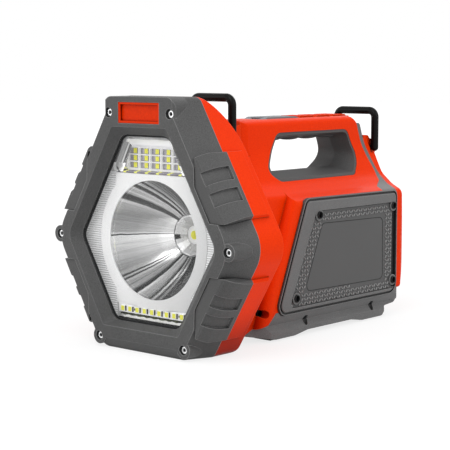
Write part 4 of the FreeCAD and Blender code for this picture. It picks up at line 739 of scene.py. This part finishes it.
cast = Finish("cast_aluminium")
grit = cast.noise(0.0012, 3)
rounded = cast.softened(0.0004)
cast = cast.done({"Base Color": cast.mix(grit, colour("#8d8f91"), colour("#b4b6b8")), "Metallic": 1.0,
                  "Roughness": grit * 0.3 + 0.3, "Normal": cast.relief(grit, 0.00004, rounded)})
dress(cast, "heat_sink")


# Window and its seal
# A flat hexagonal window of clear polycarbonate. It lies in the bezel's seat on a seal of black
# rubber.

window = Finish("clear_window")
haze = window.noise(0.03, 2)
fresnel = window.add("ShaderNodeFresnel", {}, {"IOR": 1.25})
window = window.done({"Base Color": window.mix(haze, colour("#e9edef"), colour("#f6f8f9")), "IOR": 1.25,
                      "Roughness": haze * 0.04 + 0.03, "Alpha": (fresnel * 0.4 + 0.004).clamp()})
dress(window, "lens")
dress(black_rubber, "lens_gasket")


# Bezel, corner bumpers and badge plate
# The bezel is grey nylon with a fine speckled grain, the bumpers are softer grey rubber snapped
# over its corners, and a bare red plate fills the recess at the top.

bezel_grey = moulded("bezel_grey", "#464646", "#5f5f5f", "#9c9c9c", grain=0.0008, rough=0.56, depth=0.00005,
                     edge=0.0009, wear=1.1, corner_shade=0.5)
bumper_grey = moulded("bumper_grey", "#464646", "#5f5f5f", "#969696", grain=0.0007, rough=0.6,
                      depth=0.00005, edge=0.0008, wear=0.9, corner_shade=1.6)
plate_red = moulded("plate_red", "#d83000", "#e83800", "#f85820", grain=0.0016, rough=0.4, depth=0.00001,
                    edge=0.0004, wear=0.4, sheen=0.06)
dress(bezel_grey, "front_bezel")
dress(bumper_grey, "bumper_upper_left", "bumper_upper_right", "bumper_lower_left", "bumper_lower_right")

# The badge plate is a tray: a raised border round a deep bare field.
outer, field = [[(-half, low), (half, low), (half, high), (-half, high)]
                for half, low, high in ((0.0232, 0.1894, 0.2063), (0.0215, 0.1912, 0.2046))]
badge_front, badge_field, badge_back = 0.0004, 0.0027, 0.003
border = plate("badge_border", [outer, field], badge_front, badge_back, plate_red)
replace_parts(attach(border, "lamp"), "badge_insert")
field = plate("badge_field", [outer], badge_field, badge_back, plate_red)
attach(field, "lamp")


# Screws
# Nickel-plated socket-head screws hold the bezel, and blackened ones the side panels and the tub. Black
# sleeves round the bezel's and panels' heads are partly washers, partly painted shade in wells and sockets.

nickel = metal("nickel_plate", "#e6e7e8", "#fbfbfb", rough=0.3)
dress(nickel, "head_screws", "housing_screws")


def cylinder(tree, sides, radius, depth):
    """An upright cylinder round the origin."""
    return tree.add("GeometryNodeMeshCylinder", {}, {
        "Vertices": sides, "Radius": radius, "Depth": depth}, "Mesh")


def raised(tree, shape, height):
    """The shape, moved along its axis."""
    return tree.add("GeometryNodeTransform", {}, {
        "Geometry": shape, "Translation": tree.vector(0.0, 0.0, height)})


def bored(tree, shape, tool):
    """The shape without the tool's space."""
    return tree.add("GeometryNodeMeshBoolean", {"operation": "DIFFERENCE", "solver": "EXACT"},
                    {"Mesh 1": shape, "Mesh 2": tool}, "Mesh")


def set_on(tree, points, parts, tip, spin, material):
    """The joined parts on each point, tipped over and turned, as a finished tree."""
    whole = tree.add("GeometryNodeJoinGeometry", {}, [parts])
    fixed = tree.add("GeometryNodeInstanceOnPoints", {}, {
        "Points": points, "Instance": whole, "Rotation": tree.rotation(tip, 0.0, spin)})
    return ends_in(tree, fixed, material)


def screw_tree(name, material):
    """A socket-head screw on each point. Its head starts at the point and its shank runs away from it."""
    tree, points, radius, height, socket, shank, length, tip, spin = tree_of(
        name, "radius", "height", "socket", "shank", "length", "tip", "spin")
    head = tree.add("GeometryNodeMeshCone", {}, {
        "Vertices": 40, "Radius Top": radius, "Radius Bottom": radius * 0.93, "Depth": height}, "Mesh")
    head = bored(tree, head, cylinder(tree, 6, socket, height * 1.3))
    rod = raised(tree, cylinder(tree, 20, shank, length), height + length / 2)
    return set_on(tree, points, [head, rod], tip, spin, material)


lying, quarter = -math.pi / 2, math.pi / 2    # lays a screw down, and turns it from front to side
bright_tree, black_tree = screw_tree("bright_screws", nickel), screw_tree("black_screws", blackened)
# Black sleeves, partly washers and partly painted shade in the screws' wells, with a black core in each
# socket as painted shade.
tree, points, plug, inner, outer, height, rise, spin = tree_of(
    "screw_sleeves", "plug", "inner", "outer", "height", "rise", "spin")
washer_and_well_shade = bored(tree, cylinder(tree, 40, outer, height), cylinder(tree, 40, inner, height * 2))
washer_and_well_shade = raised(tree, washer_and_well_shade, rise)
socket_shade = raised(tree, cylinder(tree, 16, plug, 0.0008), 0.0009)
sleeve_tree = set_on(tree, points, [washer_and_well_shade, socket_shade], lying, spin, black_rubber)

bezel_heads, panel_heads = 0.0022, 0.0546     # where the heads start: behind the rim, and from the middle
corners = [(side * x, bezel_heads - origin, z)
           for x, z in ((0.0347, 0.1977), (0.0958, 0.0924), (0.0484, 0.0096)) for side in (1, -1)]
screws = grow("bezel_cap_screws", bright_tree, corners, radius=0.0031, height=0.003, socket=0.0018,
              shank=0.0015, length=0.026, tip=lying, spin=0.0)
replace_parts(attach(screws, "lamp"), "bezel_screws")
sleeves = grow("bezel_screw_sleeves", sleeve_tree, corners, plug=0.00165, inner=0.0032, outer=0.00405,
               height=0.0038, rise=0.00105, spin=0.0)
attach(sleeves, "lamp")

for side, hand in ((1, "right"), (-1, "left")):
    spots = [(side * panel_heads, y - origin, z) for y, z in panel_screws]
    screws = grow("panel_cap_screws_" + hand, black_tree, spots, radius=0.00275, height=0.0018,
                  socket=0.0013, shank=0.0014, length=0.01, tip=lying, spin=side * quarter)
    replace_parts(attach(screws, "lamp"), "panel_screws")
    sleeves = grow("panel_screw_sleeves_" + hand, sleeve_tree, spots, plug=0.0012, inner=0.0028,
                   outer=0.00325, height=0.0036, rise=0.0, spin=side * quarter)
    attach(sleeves, "lamp")

# A dark filler in the hole through which the front one of the housing screws is driven is painted shade.
plug_place = (0.0432, 0.1014 - origin, 0.0252)
plug = grow("housing_screw_plug", black_tree, [plug_place], radius=0.0035, height=0.008, socket=0.0018,
            shank=0.0014, length=0.001, tip=lying, spin=quarter)
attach(plug, "lamp")

tub_side, tub_heads = 0.0465, 0.014           # places of the tub's screws, from the middle and the floor
spots = [(side * tub_side, y - origin, tub_heads) for side in (1, -1) for y in (0.1585, 0.2575)]
screws = grow("tub_cap_screws", black_tree, spots, radius=0.00275, height=0.003, socket=0.00145,
              shank=0.0014, length=0.009, tip=0.0, spin=0.0)
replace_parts(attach(screws, "lamp"), "base_screws")


# Cells and boards
# Ten lithium cells in blue sleeves, gripped at both ends by holders of black nylon, and green
# glass-fibre boards for charging, driving and the switches.

sleeve = Finish("blue_sleeve")
film = sleeve.noise(0.004, 3)
dress(sleeve.done({"Base Color": sleeve.mix(film, colour("#1b5c9e"), colour("#2a74bd")),
                   "Roughness": film * 0.2 + 0.25, "Normal": sleeve.relief(film, 0.00004)}), "battery_cells")
mask = Finish("solder_mask")
weave = mask.noise(0.0006, 3)
dress(mask.done({"Base Color": mask.mix(weave, colour("#14532d"), colour("#1e6e3c")),
                 "Roughness": weave * 0.2 + 0.3, "Coat Weight": 0.4,
                 "Normal": mask.relief(weave, 0.00002)}), "control_board", "switch_board")
dress(black_nylon, "cell_holder_left", "cell_holder_right")


# Floor, light and camera
# A pale matt floor that runs into white, four soft lamps and an even sky. The camera stands where
# the photograph's did.

reach = 6
sheet = bpy.data.meshes.new("floor")
sheet.from_pydata([(-reach, -reach, 0), (reach, -reach, 0), (reach, reach, 0), (-reach, reach, 0)], [],
                  [(0, 1, 2, 3)])
floor = bpy.data.objects.new("floor", sheet)
scene.collection.objects.link(floor)


def seen(tree):
    """1 on rays that the camera, a gloss or clear plastic sends."""
    rays = tree.add("ShaderNodeLightPath").output.node.outputs
    kinds = ("Camera", "Glossy", "Transmission")
    direct, gloss, clear = [Socket(tree, rays[f"Is {kind} Ray"]) for kind in kinds]
    return (direct + gloss + clear).clamp()


paper = Finish("pale_floor")
matt = paper.add("ShaderNodeBsdfDiffuse", {}, [colour("#e6e6e6")])
glow = paper.add("ShaderNodeEmission", {}, {"Color": (1, 1, 1, 1), "Strength": 1.16})
far = paper.add("ShaderNodeVectorMath", {"operation": "LENGTH"}, [paper.spot], "Value")
both = paper.add("ShaderNodeMixShader", {}, [seen(paper) * ((far * 0.7).clamp() * 0.35 + 0.65), matt, glow])
paper.add("ShaderNodeOutputMaterial", {}, {"Surface": both})
sheet.materials.append(paper.material)

world = bpy.data.worlds.new("sky")
world.use_nodes = True
scene.world = world
sky = Tree(world.node_tree)
world.node_tree.nodes.clear()
even = sky.add("ShaderNodeBackground", {}, {"Color": (1, 1, 1, 1), "Strength": seen(sky) * 0.52 + 0.48})
sky.add("ShaderNodeOutputWorld", {}, {"Surface": even})


def aim(thing, place, target):
    """Puts a lamp or the camera at a place and turns it to a target."""
    thing.location = place
    thing.rotation_euler = (Vector(target) - Vector(place)).to_track_quat("-Z", "Y").to_euler()
    scene.collection.objects.link(thing)


for name, place, width, power in (("key", (0.4, -1.0, 1.6), 1.0, 13), ("fill", (-1.1, -1.1, 0.4), 1.2, 6),
                                  ("side", (1.5, 0.2, 0.9), 1.0, 7), ("rear", (-0.3, 1.4, 1.2), 1.0, 5)):
    lamp = bpy.data.lights.new(name, "AREA")
    lamp.size, lamp.energy = width, power
    aim(bpy.data.objects.new(name, lamp), place, (0, 0, 0.1))

lens = bpy.data.cameras.new("camera")
lens.lens, lens.sensor_width, lens.clip_start = 111.36, 36, 0.02
camera = bpy.data.objects.new("camera", lens)
stand, gaze = Vector((0.79819, -0.94848, 0.23632)), Vector((-0.6583, 0.7441, -0.1142))
aim(camera, stand, stand + gaze)
scene.camera = camera
scene.view_settings.view_transform = "Standard"
